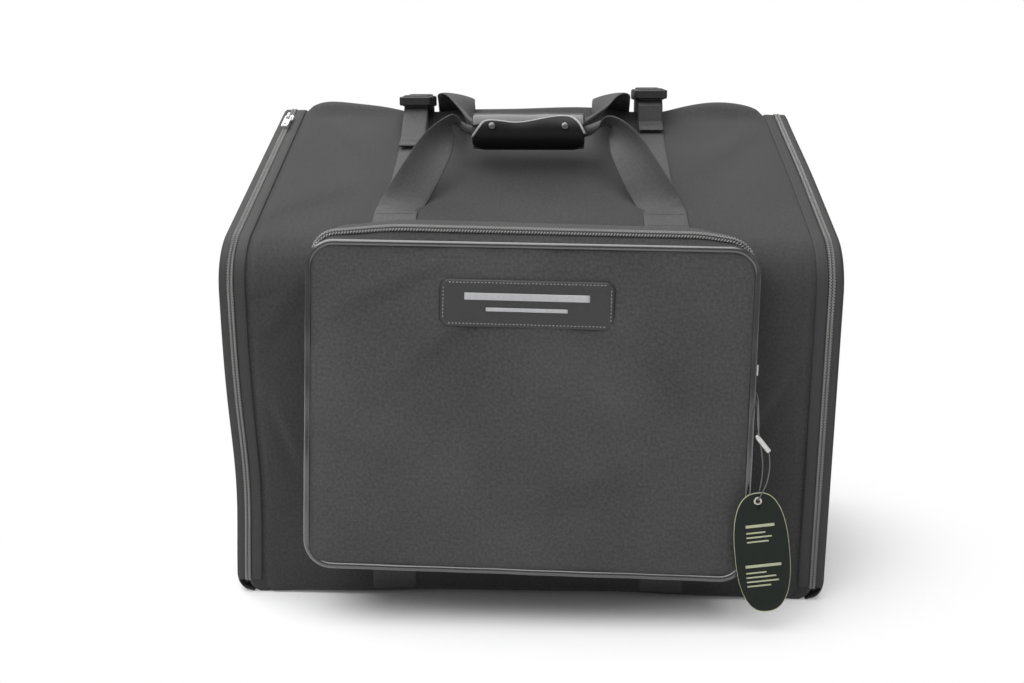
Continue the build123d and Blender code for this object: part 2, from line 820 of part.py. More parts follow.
def pocket_wall(depth, length, grow_out, grow_in):
    """Wall round the pocket's outline that runs straight back from depth."""
    with BuildSketch(face_plane_back(depth)) as ring:
        pocket_shape(grow_out)
        pocket_shape(grow_in, Mode.SUBTRACT)
    extrude(ring.sketch, amount=length, dir=(0, 1, 0))


def keep_zip_run():
    """Keep only the stretch of a chain over the top and down the right side to the slider."""
    with BuildSketch(face_plane_back(pocket_zip_setback)) as run:
        with BuildLine():
            Polyline(
                (-pocket_width, pocket_height - pocket_corner),
                (pocket_width / 2 - pocket_corner, pocket_height - pocket_corner),
                (pocket_width / 2 - pocket_corner, pocket_slider_height),
                (pocket_width, pocket_slider_height),
                (pocket_width, 2 * pocket_height),
                (-pocket_width, 2 * pocket_height),
                close=True,
            )
        make_face()
    extrude(run.sketch, amount=pocket_depth, both=True, mode=Mode.INTERSECT)


with BuildPart() as pocket_back_gusset:
    pocket_wall(pocket_zip_setback + part_gap / 2, case_depth / 3, 0, -pocket_cloth)
    with BuildSketch(Plane.YZ.offset(-half_width)):
        add(case_outline(0, -1))
    extrude(amount=case_width, mode=Mode.SUBTRACT)
finish(pocket_back_gusset.part, "pocket_back_gusset")

with BuildPart() as pocket_front_gusset:
    seam = pocket_cloth / 8
    pocket_wall(seam, pocket_zip_setback - part_gap / 2 - seam, 0, -pocket_cloth)
finish(pocket_front_gusset.part, "pocket_front_gusset")

with BuildPart() as pocket_panel:
    with BuildSketch(face_plane):
        pocket_shape(0)
    extrude(amount=pocket_cloth)
finish(pocket_panel.part, "pocket_panel")

with BuildPart() as pocket_back_coil:
    pocket_wall(pocket_zip_setback + part_gap / 2, (pocket_chain - part_gap) / 2, pocket_chain_proud, 0)
    keep_zip_run()
finish(pocket_back_coil.part, "pocket_back_coil")

with BuildPart() as pocket_front_coil:
    front_coil_depth = pocket_zip_setback - pocket_chain / 2
    pocket_wall(front_coil_depth, (pocket_chain - part_gap) / 2, pocket_chain_proud, 0)
    keep_zip_run()
finish(pocket_front_coil.part, "pocket_front_coil")

with BuildPart() as pocket_piping:
    with BuildSketch(face_plane, mode=Mode.PRIVATE) as piping_path:
        pocket_shape(piping_radius * 0.5)
    piping_wire = piping_path.sketch.face().outer_wire()
    piping_start = piping_wire @ 0
    with BuildSketch(Plane(origin=piping_start, z_dir=piping_wire % 0)):
        Circle(piping_radius)
    sweep(path=piping_wire)
    add(pocket_panel.part, mode=Mode.SUBTRACT)
    add(pocket_front_gusset.part, mode=Mode.SUBTRACT)
finish(pocket_piping.part, "pocket_piping")

with BuildPart() as pocket_patch:
    with BuildSketch(face_plane.offset(pocket_cloth)):
        with Locations((patch_x, patch_y)):
            patch = Rectangle(patch_width, patch_height)
        chamfer(patch.vertices(), patch_corner)
    extrude(amount=patch_thick)
    fillet(pocket_patch.faces().sort_by(Axis.Y)[0].edges(), patch_thick / 3)
finish(pocket_patch.part, "pocket_patch")

# The slider sits on the right side of the gusset, its pull hanging down
slider_foot = face_plane_back(pocket_zip_setback).from_local_coords(
    (pocket_width / 2 + pocket_chain_proud, pocket_slider_height, 0)
)
pocket_slider_at = Plane(
    origin=slider_foot, x_dir=tuple(-value for value in face_out), z_dir=face_across
)
finish(zip_slider(pocket_slider_at, pocket_chain), "pocket_slider")
finish(zip_pull(pocket_slider_at, 0), "pocket_pull")

# ---- Hang tag ----
tag_y = face_y - piping_radius - tag_clear
tag_plane = Plane(
    origin=(tag_eye_x, tag_y, tag_eye_z),
    x_dir=(cos(radians(tag_tilt)), 0, sin(radians(tag_tilt))),
    z_dir=(0, -1, 0),
)
with BuildPart() as hang_tag:
    with BuildSketch(tag_plane):
        with Locations((0, eyelet_radius * 2 - tag_height / 2)):
            Ellipse(tag_width / 2, tag_height / 2)
        Circle(eyelet_hole + part_gap, mode=Mode.SUBTRACT)
    extrude(amount=tag_thick)
finish(hang_tag.part, "hang_tag")

with BuildPart() as tag_eyelet:
    with BuildSketch(tag_plane.offset(-0.5)):
        Circle(eyelet_hole + part_gap)
        Circle(eyelet_hole, mode=Mode.SUBTRACT)
    extrude(amount=tag_thick + 1)
    with BuildSketch(tag_plane.offset(tag_thick)):
        Circle(eyelet_radius)
        Circle(eyelet_hole, mode=Mode.SUBTRACT)
    extrude(amount=0.5)
    with BuildSketch(tag_plane):
        Circle(eyelet_radius)
        Circle(eyelet_hole, mode=Mode.SUBTRACT)
    extrude(amount=-0.5)
finish(tag_eyelet.part, "tag_eyelet")


# ---- Loop of the tag ----
# A limp cord: from its lock through the pull's eye, down behind the card, through the eyelet and up again
def cord_tube(points, radius, label):
    """Tube along straight runs joined by the largest arcs that they take."""
    runs = [Vector(*b) - Vector(*a) for a, b in zip(points, points[1:])]
    bends = [
        0.45 * min(first.length, second.length) / tan(radians(first.get_angle(second) / 2))
        for first, second in zip(runs, runs[1:])
    ]
    print(label, "bend radii", [round(bend, 1) for bend in bends])
    with BuildPart() as tube:
        with BuildLine() as path:
            FilletPolyline(*points, radius=bends)
        route = path.wires()[0]
        with BuildSketch(Plane(origin=route @ 0, z_dir=route % 0)) as section:
            Circle(radius)
        sweep(path=route)
    fullness = tube.part.volume / (route.length * section.sketch.area)
    print(label, "length", round(route.length, 1), "volume over section times length", round(fullness, 3))
    return tube.part


pull_middle = slider_lift + slider_plate + (bridge_height - bridge_wall) / 2
eye_drop = pull_length - 2 * pull_eye - pull_thick
eye = pocket_slider_at.from_local_coords((0, -eye_drop, pull_middle))
lock_top = Vector(tag_eye_x - 2.6, tag_y - 0.6, tag_eye_z + 55)
lock_foot = Vector(tag_eye_x + 6.6, tag_y - 2.2, tag_eye_z + 43.8)


def off_tag(x, y, z):
    """Point given from the centre of the tag's eyelet."""
    return (tag_eye_x + x, tag_y + y, tag_eye_z + z)


def off_eye(x, y, z):
    """Point given from the centre of the pull's eye."""
    return (eye.X + x, eye.Y + y, eye.Z + z)


loop_points = (
    tuple(lock_top),
    off_tag(-1.2, 4.8, 63),
    off_eye(1.2, -20, -13.5),
    off_eye(2.1, -11, -5.5),
    off_eye(2.4, -4, -0.6),
    off_eye(2.2, -0.2, 0.2),
    off_eye(-1.8, 0.2, 0.2),
    off_eye(-1.8, -3.4, -1.0),
    off_eye(0.6, -8.2, -4.6),
    off_eye(1.3, -14.5, -11.4),
    off_eye(0.0, -23, -21.5),
    off_tag(-0.8, 2.6, 56),
    off_tag(1.2, 2.6, 44),
    off_tag(3.4, 2.5, 31),
    off_tag(3.0, 2.4, 17),
    off_tag(1.2, 2.2, 7),
    off_tag(0, 2.1, 0.3),
    off_tag(0, -2.2, 0.3),
    off_tag(1.6, -2.9, 6),
    off_tag(5.6, -3.2, 14.5),
    off_tag(7.6, -3.4, 25),
    off_tag(7.8, -3.0, 35),
    tuple(lock_foot),
)
finish(cord_tube(loop_points, loop_radius, "tag_loop"), "tag_loop")

# The lock closes the loop: a small barrel with a nub at its upper end
lock_along = (lock_foot - lock_top).normalized()
with BuildPart() as tag_lock:
    with BuildSketch(Plane(origin=lock_top, z_dir=lock_along)):
        Circle(tag_lock_radius)
    extrude(amount=(lock_foot - lock_top).length)
    with Locations(lock_top - lock_along * tag_nub_radius * 0.6):
        Sphere(tag_nub_radius)
finish(tag_lock.part, "tag_lock")
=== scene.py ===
"""Soft accordion case in woven nylon: zipped flap with a pocket, webbing handles, buckles, shoulder straps.

Shapes are worked out in millimetres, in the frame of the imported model, and become metres in make().
"""

import json
import math

import bpy
import numpy as np
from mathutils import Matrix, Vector


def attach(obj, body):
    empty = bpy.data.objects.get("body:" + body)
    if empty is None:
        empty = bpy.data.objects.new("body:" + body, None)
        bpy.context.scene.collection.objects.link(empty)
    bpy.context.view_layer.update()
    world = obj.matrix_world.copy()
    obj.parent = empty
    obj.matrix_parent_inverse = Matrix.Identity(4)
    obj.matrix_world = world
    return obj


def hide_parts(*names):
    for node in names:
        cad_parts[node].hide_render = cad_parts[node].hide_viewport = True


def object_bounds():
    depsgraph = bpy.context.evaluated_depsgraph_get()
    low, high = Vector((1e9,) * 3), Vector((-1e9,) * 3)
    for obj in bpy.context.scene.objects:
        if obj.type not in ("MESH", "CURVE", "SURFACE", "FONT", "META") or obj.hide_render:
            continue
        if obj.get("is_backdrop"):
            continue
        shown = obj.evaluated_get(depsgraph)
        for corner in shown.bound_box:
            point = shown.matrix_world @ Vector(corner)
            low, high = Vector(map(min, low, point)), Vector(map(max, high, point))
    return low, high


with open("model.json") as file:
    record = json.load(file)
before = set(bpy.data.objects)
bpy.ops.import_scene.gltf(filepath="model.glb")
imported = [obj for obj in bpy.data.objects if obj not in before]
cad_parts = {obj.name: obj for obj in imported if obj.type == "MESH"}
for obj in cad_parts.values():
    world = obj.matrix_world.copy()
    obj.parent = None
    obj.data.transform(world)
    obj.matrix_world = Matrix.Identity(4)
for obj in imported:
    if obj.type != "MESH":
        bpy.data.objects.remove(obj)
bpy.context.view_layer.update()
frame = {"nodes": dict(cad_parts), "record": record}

# ---- Sizes of the case, in millimetres ----
HALF_WIDTH, HALF_DEPTH = 270.0, 140.0
SHOULDER, RIDGE = 316.0, 438.0
SHOULDER_ROUND, RIDGE_ROUND = 50.0, 9.0
RISE = (RIDGE - SHOULDER) / (2 * HALF_DEPTH)
CORE = (0, 0, 200)
CHAIN_X, ZIP_FOOT, RIDGE_ZIP = 260.0, 12.0, 404.0
HALF_CHAIN, TOOTH = 1.5, 2.55
BROAD, RIBBON, WEB = 40.0, 25.0, 1.6
BAND_X, LOOP_X, CLOSURE_X = 122.0, 84.0, 122.4
BACK_WEB, BACK_THREAD = HALF_DEPTH + 0.8, HALF_DEPTH + 1.6
FORWARDS, BACKWARDS, UPWARDS = np.array([0, -1.0, 0]), np.array([0, 1.0, 0]), np.array([0, 0, 1.0])


# ---- Mesh code ----
def unit(v):
    """Vectors divided by their lengths."""
    return v / np.maximum(np.linalg.norm(v, axis=-1, keepdims=True), 1e-9)


def smooth(t):
    """3t^2 - 2t^3 between 0 and 1."""
    t = np.clip(t, 0, 1)
    return t * t * (3 - 2 * t)


def bell(t):
    """exp(-t^2)."""
    return np.exp(-np.square(t))


def resample(points, step):
    """The same line with points at equal distances of about step."""
    points = np.asarray(points, float)
    run = np.concatenate([[0], np.cumsum(np.linalg.norm(np.diff(points, axis=0), axis=1))])
    at = np.linspace(0, run[-1], max(2, int(round(run[-1] / step)) + 1))
    return np.stack([np.interp(at, run, points[:, k]) for k in range(points.shape[1])], axis=1)


def rounded_line(corners, radii, step):
    """Straight runs whose corners are arcs, each starting r / tan(half the inner angle) from its corner."""
    corners = [np.array(c, float) for c in corners]
    line = [corners[0][None]]
    for before, corner, after, radius in zip(corners, corners[1:], corners[2:], radii):
        u, v = unit(before - corner), unit(after - corner)
        half = math.acos(float(np.clip(u @ v, -1, 1))) / 2
        centre = corner + unit(u + v) * radius / math.sin(half)
        start = corner + u * radius / math.tan(half) - centre
        end = corner + v * radius / math.tan(half) - centre
        sweep = math.pi - 2 * half
        t = np.linspace(0, 1, max(3, int(radius * sweep / step) + 2))[:, None]
        line.append(centre + (np.sin((1 - t) * sweep) * start + np.sin(t * sweep) * end) / math.sin(sweep))
    line.append(corners[-1][None])
    return resample(np.vstack(line), step)


def spline(points, count):
    """Catmull-Rom curve through the points, or through rows of any numbers."""
    p = np.asarray(points, float)
    p = np.vstack([2 * p[0] - p[1], p, 2 * p[-1] - p[-2]])
    at = np.linspace(0, len(p) - 3 - 1e-9, count)
    i = at.astype(int)
    t = (at - i)[:, None]
    a, b, c, d = p[i], p[i + 1], p[i + 2], p[i + 3]
    return 0.5 * (2 * b + (c - a) * t + (2 * a - 5 * b + 4 * c - d) * t**2 + (3 * b - a - 3 * c + d) * t**3)


def grid(points, uv=None, round_u=False, round_v=False):
    """Quads over points[i, j]; round_u or round_v joins the last row or column to the first."""
    nu, nv = points.shape[:2]
    i, j = np.meshgrid(np.arange(nu - (not round_u)), np.arange(nv - (not round_v)), indexing="ij")
    i, j = i.ravel(), j.ravel()
    i2, j2 = i + 1, j + 1
    faces = np.stack([i * nv + j, (i2 % nu) * nv + j, (i2 % nu) * nv + j2 % nv, i * nv + j2 % nv], axis=1)
    if uv is None:
        along = np.concatenate([[0], np.cumsum(np.linalg.norm(np.diff(points, axis=0), axis=2).mean(1))])
        across = np.concatenate([[0], np.cumsum(np.linalg.norm(np.diff(points, axis=1), axis=2).mean(0))])
        along = np.append(along, along[-1] + (along[-1] - along[-2] if nu > 1 else 0))
        across = np.append(across, across[-1] + (across[-1] - across[-2] if nv > 1 else 0))
        uv = np.stack(np.meshgrid(along, across, indexing="ij"), axis=-1)
    corners = np.stack([uv[i, j], uv[i2, j], uv[i2, j2], uv[i, j2]], axis=1)
    return points.reshape(-1, 3), faces, corners / 1000


def sideways(path, up, closed=False):
    """Unit vectors along a path, square to it and up, and the third one between them."""
    along = np.roll(path, -1, 0) - np.roll(path, 1, 0) if closed else np.gradient(path, axis=0)
    along = unit(along)
    side = unit(np.cross(along, np.broadcast_to(up, path.shape)))
    return along, side, unit(np.cross(side, along))


def carry(path, up, profile, closed=False):
    """Closed profile carried along a path: path + side * x + up * y, with open ends closed to a point."""
    _, side, lift = sideways(path, up, closed)
    profile = np.asarray(profile, float)
    if profile.ndim == 2:
        profile = np.broadcast_to(profile, (len(path),) + profile.shape)
    points = path[:, None] + side[:, None] * profile[..., :1] + lift[:, None] * profile[..., 1:]
    if not closed:
        first, last = (np.broadcast_to(row.mean(1, keepdims=True), row.shape)
                       for row in (points[:1], points[-1:]))
        points = np.concatenate([first, points, last])
    return grid(points, round_u=closed, round_v=True)


def ring(width, height, count=12, square=2.0, base=0.0):
    """Superellipse |x/a|^n + |y/b|^n = 1 as a closed profile whose lowest point lies at base."""
    a = np.linspace(0, 2 * math.pi, count, endpoint=False) + math.pi / count
    c, s = np.cos(a), np.sin(a)
    power = 2 / square
    return np.stack([np.sign(c) * np.abs(c) ** power * width / 2,
                     np.sign(s) * np.abs(s) ** power * height / 2 + height / 2 + base], axis=1)


def coil(path, up, width, height, base, wire=0.5):
    """Flattened helix: path + side * w cos a + up * (base + h sin a), one turn a tooth, as a thin rod."""
    path = resample(np.concatenate([path, np.broadcast_to(up, path.shape)], axis=1), TOOTH / 8)
    path, up = path[:, :3], unit(path[:, 3:])
    turn = (np.arange(len(path)) / 8 * 2 * math.pi)[:, None]
    _, side, lift = sideways(path, up)
    out = side * np.cos(turn) + lift * np.sin(turn)
    centre = path + side * (np.cos(turn) * (width / 2 - wire)) + lift * (base + height / 2)
    centre = centre + lift * np.sin(turn) * (height / 2 - wire)
    around = np.linspace(0, 2 * math.pi, 5, endpoint=False)
    return carry(centre, out, np.stack([np.cos(around), np.sin(around)], 1) * wire)


def stitches(path, up, pitch=3.2, length=2.3, width=0.55, lift=0.15):
    """Sewn row: every pitch a slim double cone of thread lies along the path."""
    both = np.concatenate([path, np.broadcast_to(up, path.shape)], axis=1)
    both = resample(both, pitch / 2)
    before, after = both[0::2, :3], both[2::2, :3]
    along = unit(after - before[: len(after)])
    up = unit(both[1::2, 3:])[: len(along)]
    middle = both[1::2, :3][: len(along)] + up * lift
    side = unit(np.cross(along, up))
    tip, wide, high = along * length / 2, side * width / 2, up * width / 2
    points = np.stack([middle - tip, middle + wide, middle + high, middle - wide, middle - high, middle + tip],
                      axis=1)
    one = np.array([[0, 1, 2], [0, 2, 3], [0, 3, 4], [0, 4, 1], [5, 2, 1], [5, 3, 2], [5, 4, 3], [5, 1, 4]])
    faces = (one[None] + 6 * np.arange(len(middle))[:, None, None]).reshape(-1, 3)
    return points.reshape(-1, 3), faces, np.zeros((len(faces), 3, 2))


def settle(p):
    """Soft sag of the whole case: its rear right top corner drops and its lower corners turn in."""
    p = np.array(p, float)
    x, y, z = p[..., 0], p[..., 1], p[..., 2]
    drop = 5 * smooth((x - 130) / 140) * smooth((y + 20) / 150) * smooth((z - 250) / 120)
    tuck = np.clip((15 - z) / 15, 0, 1)
    inward = 15 * (1 - np.sqrt(1 - tuck**2)) * smooth((np.abs(x) - 225) / 40)
    p[..., 2] = z - drop
    p[..., 0] = x - np.sign(x) * inward + 5 * smooth((-x - 200) / 60) * bell((z - 105) / 75)
    return p


def make(name, pieces, material, body, *nodes, outward=None, thick=0.0, settled=None):
    """One object from (points, faces, uv) pieces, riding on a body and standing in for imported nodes.

    Faces are turned outwards by volume, or away from the point outward. thick gives a sheet its wall.
    Pieces on the shell and the flap sag with the case unless settled says otherwise.
    """
    settled = body in ("shell", "flap") if settled is None else settled
    points, starts, corners, uvs, base = [], [], [], [], 0
    for verts, faces, uv in pieces:
        p = verts[faces]
        normal = np.cross(p[:, 1] - p[:, 0], p[:, 2] - p[:, 0])
        if outward is None:
            side = (p[:, 0] - verts.mean(0)) * normal
        else:
            side = (p.mean(1) - np.array(outward, float)) * normal
        if side.sum() < 0:
            faces, uv = faces[:, ::-1], uv[:, ::-1]
        points.append(settle(verts) if settled else verts)
        corners.append((faces + base).ravel())
        starts.append(np.full(len(faces), faces.shape[1]))
        uvs.append(uv.reshape(-1, 2))
        base += len(verts)
    points, corners, uvs = np.vstack(points) / 1000, np.concatenate(corners), np.vstack(uvs)
    count = np.concatenate(starts)
    mesh = bpy.data.meshes.new(name)
    mesh.vertices.add(len(points))
    mesh.vertices.foreach_set("co", points.astype(np.float32).ravel())
    mesh.loops.add(len(corners))
    mesh.loops.foreach_set("vertex_index", corners.astype(np.int32))
    mesh.polygons.add(len(count))
    mesh.polygons.foreach_set("loop_start", np.concatenate([[0], np.cumsum(count)[:-1]]).astype(np.int32))
    mesh.update(calc_edges=True)
    mesh.uv_layers.new(name="UVMap").data.foreach_set("uv", uvs.astype(np.float32).ravel())
    mesh.validate()
    mesh.shade_smooth()
    piece = bpy.data.objects.new(name, mesh)
    bpy.context.collection.objects.link(piece)
    mesh.materials.append(material)
    if thick:
        wall = piece.modifiers.new("wall", "SOLIDIFY")
        wall.thickness, wall.offset = thick / 1000, -1
    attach(piece, body)
    if nodes:
        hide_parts(*nodes)
    return piece


# ---- Materials ----
def feed(tree, socket, value):
    """Input linked to an output, or set to a value."""
    if isinstance(value, bpy.types.NodeSocket):
        tree.links.new(value, socket)
    else:
        socket.default_value = value


def node(tree, kind, **inputs):
    """New shader node with its inputs set by name or number."""
    made = tree.nodes.new(kind)
    for key, value in inputs.items():
        feed(tree, made.inputs[int(key[1:]) if key[0] == "_" else key.replace("_", " ")], value)
    return made


def maths(tree, operation, *values):
    """Output of a Math node."""
    made = tree.nodes.new("ShaderNodeMath")
    made.operation = operation
    for socket, value in zip(made.inputs, values):
        feed(tree, socket, value)
    return made.outputs[0]


def group(name, inputs, outputs, build):
    """Node group with float or vector inputs and float outputs, filled in by build(tree, inputs)."""
    tree = bpy.data.node_groups.new(name, "ShaderNodeTree")
    for label, kind in inputs:
        tree.interface.new_socket(name=label, in_out="INPUT", socket_type=kind)
    for label in outputs:
        tree.interface.new_socket(name=label, in_out="OUTPUT", socket_type="NodeSocketFloat")
    entry, leave = tree.nodes.new("NodeGroupInput"), tree.nodes.new("NodeGroupOutput")
    for socket, value in zip(leave.inputs, build(tree, entry.outputs)):
        tree.links.new(value, socket)
    return tree


def use_group(tree, made, **inputs):
    """Node group placed in a material, with its inputs set by name."""
    placed = tree.nodes.new("ShaderNodeGroup")
    placed.node_tree = made
    for label, value in inputs.items():
        feed(tree, placed.inputs[label], value)
    return placed


def in_pitches(tree, given):
    """Place divided by the pitch of the relief."""
    pitch = node(tree, "ShaderNodeCombineXYZ", X=given["Pitch"], Y=given["Pitch"], Z=given["Pitch"])
    divided = node(tree, "ShaderNodeVectorMath", _0=given["Place"], _1=pitch.outputs[0])
    divided.operation = "DIVIDE"
    return divided.outputs[0]


def plain_weave(tree, given):
    """Height 0.5 + 0.5 sin(2 pi x) sin(2 pi y) over a thread pitch, with uneven threads."""
    threads = in_pitches(tree, given)
    wander = node(tree, "ShaderNodeTexNoise", Vector=threads, Scale=0.35, Detail=1.0)
    place = node(tree, "ShaderNodeSeparateXYZ", Vector=threads)
    sway = maths(tree, "MULTIPLY", wander.outputs[0], 0.6)
    across, down = (maths(tree, "SINE", maths(tree, "MULTIPLY", maths(tree, "ADD", way, sway), 2 * math.pi))
                    for way in (place.outputs[0], place.outputs[1]))
    height = maths(tree, "MULTIPLY_ADD", maths(tree, "MULTIPLY", across, down), 0.5, 0.5)
    fibre = node(tree, "ShaderNodeTexNoise", Vector=threads, Scale=2.2, Detail=2.0)
    return [maths(tree, "MULTIPLY_ADD", fibre.outputs[0], 0.5, height), fibre.outputs[0]]


def woven_ribs(tree, given):
    """Rows along the band, each crossed by slanted picks: |sin| across times a slanted wave."""
    place = node(tree, "ShaderNodeSeparateXYZ", Vector=given["Place"])
    across = maths(tree, "DIVIDE", place.outputs[1], given["Pitch"])
    along = maths(tree, "DIVIDE", place.outputs[0], given["Pitch"])
    row = maths(tree, "ABSOLUTE", maths(tree, "SINE", maths(tree, "MULTIPLY", across, math.pi)))
    lean = maths(tree, "PINGPONG", across, 1.0)
    pick = maths(tree, "SINE", maths(tree, "MULTIPLY", maths(tree, "ADD", along, lean), 2 * math.pi))
    height = maths(tree, "MULTIPLY", row, maths(tree, "MULTIPLY_ADD", pick, 0.3, 0.7))
    fibre = node(tree, "ShaderNodeTexNoise", Vector=given["Place"], Scale=900.0, Detail=2.0)
    return [maths(tree, "MULTIPLY_ADD", fibre.outputs[0], 0.25, height), fibre.outputs[0]]


def hide_grain(tree, given):
    """Pebbled skin: distance to the nearest cell edge, softened by noise."""
    pebbles = in_pitches(tree, given)
    cells = node(tree, "ShaderNodeTexVoronoi", Vector=pebbles, Scale=1.0)
    cells.feature = "DISTANCE_TO_EDGE"
    fine = node(tree, "ShaderNodeTexNoise", Vector=pebbles, Scale=3.0, Detail=3.0)
    edge = maths(tree, "MINIMUM", maths(tree, "MULTIPLY", cells.outputs[0], 4.0), 1.0)
    return [maths(tree, "MULTIPLY_ADD", fine.outputs[0], 0.4, edge), fine.outputs[0]]


def fuzz(tree, given):
    """Short fibres or moulded speckle: fine noise over coarse noise."""
    fibres = in_pitches(tree, given)
    fine = node(tree, "ShaderNodeTexNoise", Vector=fibres, Scale=1.0, Detail=4.0)
    coarse = node(tree, "ShaderNodeTexNoise", Vector=fibres, Scale=0.15, Detail=2.0)
    return [maths(tree, "MULTIPLY_ADD", coarse.outputs[0], 0.5, fine.outputs[0]), coarse.outputs[0]]


def patchy(tree, given):
    """Slow change of shade and of dust over a surface, and a finer fleck."""
    slow = node(tree, "ShaderNodeTexNoise", Vector=given["Place"], Scale=given["Scale"], Detail=2.0)
    fleck = node(tree, "ShaderNodeTexNoise", Vector=given["Place"], Scale=380.0, Detail=3.0)
    shade = maths(tree, "MULTIPLY_ADD", maths(tree, "SUBTRACT", slow.outputs[0], 0.5), given["Amount"], 1.0)
    spread = maths(tree, "MULTIPLY", maths(tree, "SUBTRACT", fleck.outputs[0], 0.5), given["Fleck"])
    return [maths(tree, "ADD", shade, spread), slow.outputs[0]]


PLACE = [("Place", "NodeSocketVector"), ("Pitch", "NodeSocketFloat")]
RELIEF = {
    "weave": group("plain weave", PLACE, ["Height", "Fibre"], plain_weave),
    "ribs": group("webbing ribs", PLACE, ["Height", "Fibre"], woven_ribs),
    "hide": group("leatherette grain", PLACE, ["Height", "Fibre"], hide_grain),
    "fuzz": group("fibre and speckle", PLACE, ["Height", "Fibre"], fuzz),
}
SHADE = group("uneven shade", [("Place", "NodeSocketVector"), ("Scale", "NodeSocketFloat"),
                               ("Amount", "NodeSocketFloat"), ("Fleck", "NodeSocketFloat")],
              ["Shade", "Slow"], patchy)


def surface(name, colour, rough, relief, pitch, depth, on="UV", uneven=0.3, fleck=0.15, metallic=0.0,
            sheen=0.0, coat=0.0, specular=0.5):
    """Finish with a relief, an uneven shade and uneven roughness; the relief's hollows are painted darker as
    painted shade. pitch and depth are in millimetres.
    """
    made = bpy.data.materials.new(name)
    made.use_nodes = True
    tree = made.node_tree
    shader = tree.nodes["Principled BSDF"]
    place = node(tree, "ShaderNodeTexCoord").outputs[on]
    pattern = use_group(tree, RELIEF[relief], Place=place, Pitch=pitch / 1000)
    shade = use_group(tree, SHADE, Place=place, Scale=9.0, Amount=uneven, Fleck=fleck)
    # Painted shade: the colour is darker where the relief is low.
    hollow_shade = maths(tree, "MULTIPLY_ADD", pattern.outputs["Height"], 0.35, 0.75)
    factor = maths(tree, "MULTIPLY", shade.outputs["Shade"], hollow_shade)
    grey = node(tree, "ShaderNodeCombineColor", Red=factor, Green=factor, Blue=factor)
    tint = node(tree, "ShaderNodeMix", _0=1.0, _6=(*colour, 1), _7=grey.outputs[0])
    tint.data_type, tint.blend_type = "RGBA", "MULTIPLY"
    slow = maths(tree, "SUBTRACT", shade.outputs["Slow"], 0.5)
    gloss = maths(tree, "MULTIPLY_ADD", slow, 0.25 * rough, rough)
    bump = node(tree, "ShaderNodeBump", Strength=1.0, Distance=depth / 1000, Height=pattern.outputs["Height"])
    for label, value in (("Base Color", tint.outputs[2]), ("Roughness", gloss), ("Normal", bump.outputs[0]),
                         ("Metallic", metallic), ("Specular IOR Level", specular), ("Sheen Weight", sheen),
                         ("Sheen Roughness", 0.4), ("Coat Weight", coat), ("Coat Roughness", 0.15)):
        feed(tree, shader.inputs[label], value)
    return made


nylon = surface("woven nylon", (0.055, 0.055, 0.055), 0.7, "weave", 1.2, 0.55, uneven=1.1, fleck=1.6,
                sheen=0.12)
# Same cloth as the pocket's, coloured darker as painted shade on the flap's front.
nylon_flap_painted_shade = surface("woven nylon of the flap, darkened as painted shade", (0.035, 0.035, 0.035), 0.72, "weave", 1.2, 0.55, uneven=1.1,
                     fleck=1.6, sheen=0.12)
nylon_side = surface("woven nylon of the ends", (0.046, 0.046, 0.046), 0.72, "weave", 1.2, 0.55, uneven=1.0,
                     fleck=1.6, sheen=0.1)
nylon_flat = surface("woven nylon, object", (0.05, 0.05, 0.049), 0.74, "weave", 0.95, 0.16, on="Object",
                     sheen=0.1)
webbing = surface("ribbed webbing", (0.05, 0.05, 0.05), 0.62, "ribs", 1.6, 0.14, uneven=0.5, fleck=0.9,
                  sheen=0.08)
binding = surface("binding tape", (0.014, 0.014, 0.014), 0.6, "ribs", 0.8, 0.12)
zip_tape = surface("zip tape", (0.036, 0.036, 0.036), 0.65, "ribs", 0.7, 0.12)
# The coil's pale colour stands in for glints on its teeth: painted highlight.
coil_painted_glint = surface("moulded coil with painted glint", (0.34, 0.34, 0.335), 0.2, "fuzz", 0.4, 0.02, uneven=0.2)
vinyl = surface("piping vinyl", (0.022, 0.022, 0.023), 0.22, "fuzz", 0.7, 0.03, coat=0.8, specular=0.8)
wrap_hide = surface("wrap leatherette", (0.006, 0.006, 0.006), 0.42, "hide", 1.1, 0.06, specular=0.25)
leatherette = surface("glossy leatherette", (0.02, 0.02, 0.021), 0.34, "hide", 1.1, 0.05, coat=0.6)
patch_hide = surface("patch leatherette", (0.035, 0.035, 0.036), 0.42, "hide", 0.9, 0.08)
pale_print = surface("pale raised print", (0.42, 0.42, 0.43), 0.45, "fuzz", 0.4, 0.02)
thread = surface("sewing thread", (0.045, 0.045, 0.045), 0.5, "fuzz", 0.3, 0.02)
lining_plush = surface("plush lining", (0.035, 0.035, 0.037), 0.9, "fuzz", 0.5, 0.25, on="Object", sheen=0.3)
foam_cut = surface("cut foam", (0.09, 0.09, 0.095), 0.9, "fuzz", 0.9, 0.3, on="Object")
board_plastic = surface("stiffening board", (0.05, 0.05, 0.05), 0.6, "fuzz", 1.2, 0.05, on="Object")
plastic = surface("moulded buckle plastic", (0.022, 0.022, 0.023), 0.36, "fuzz", 0.8, 0.03, on="Object",
                  fleck=0.05)
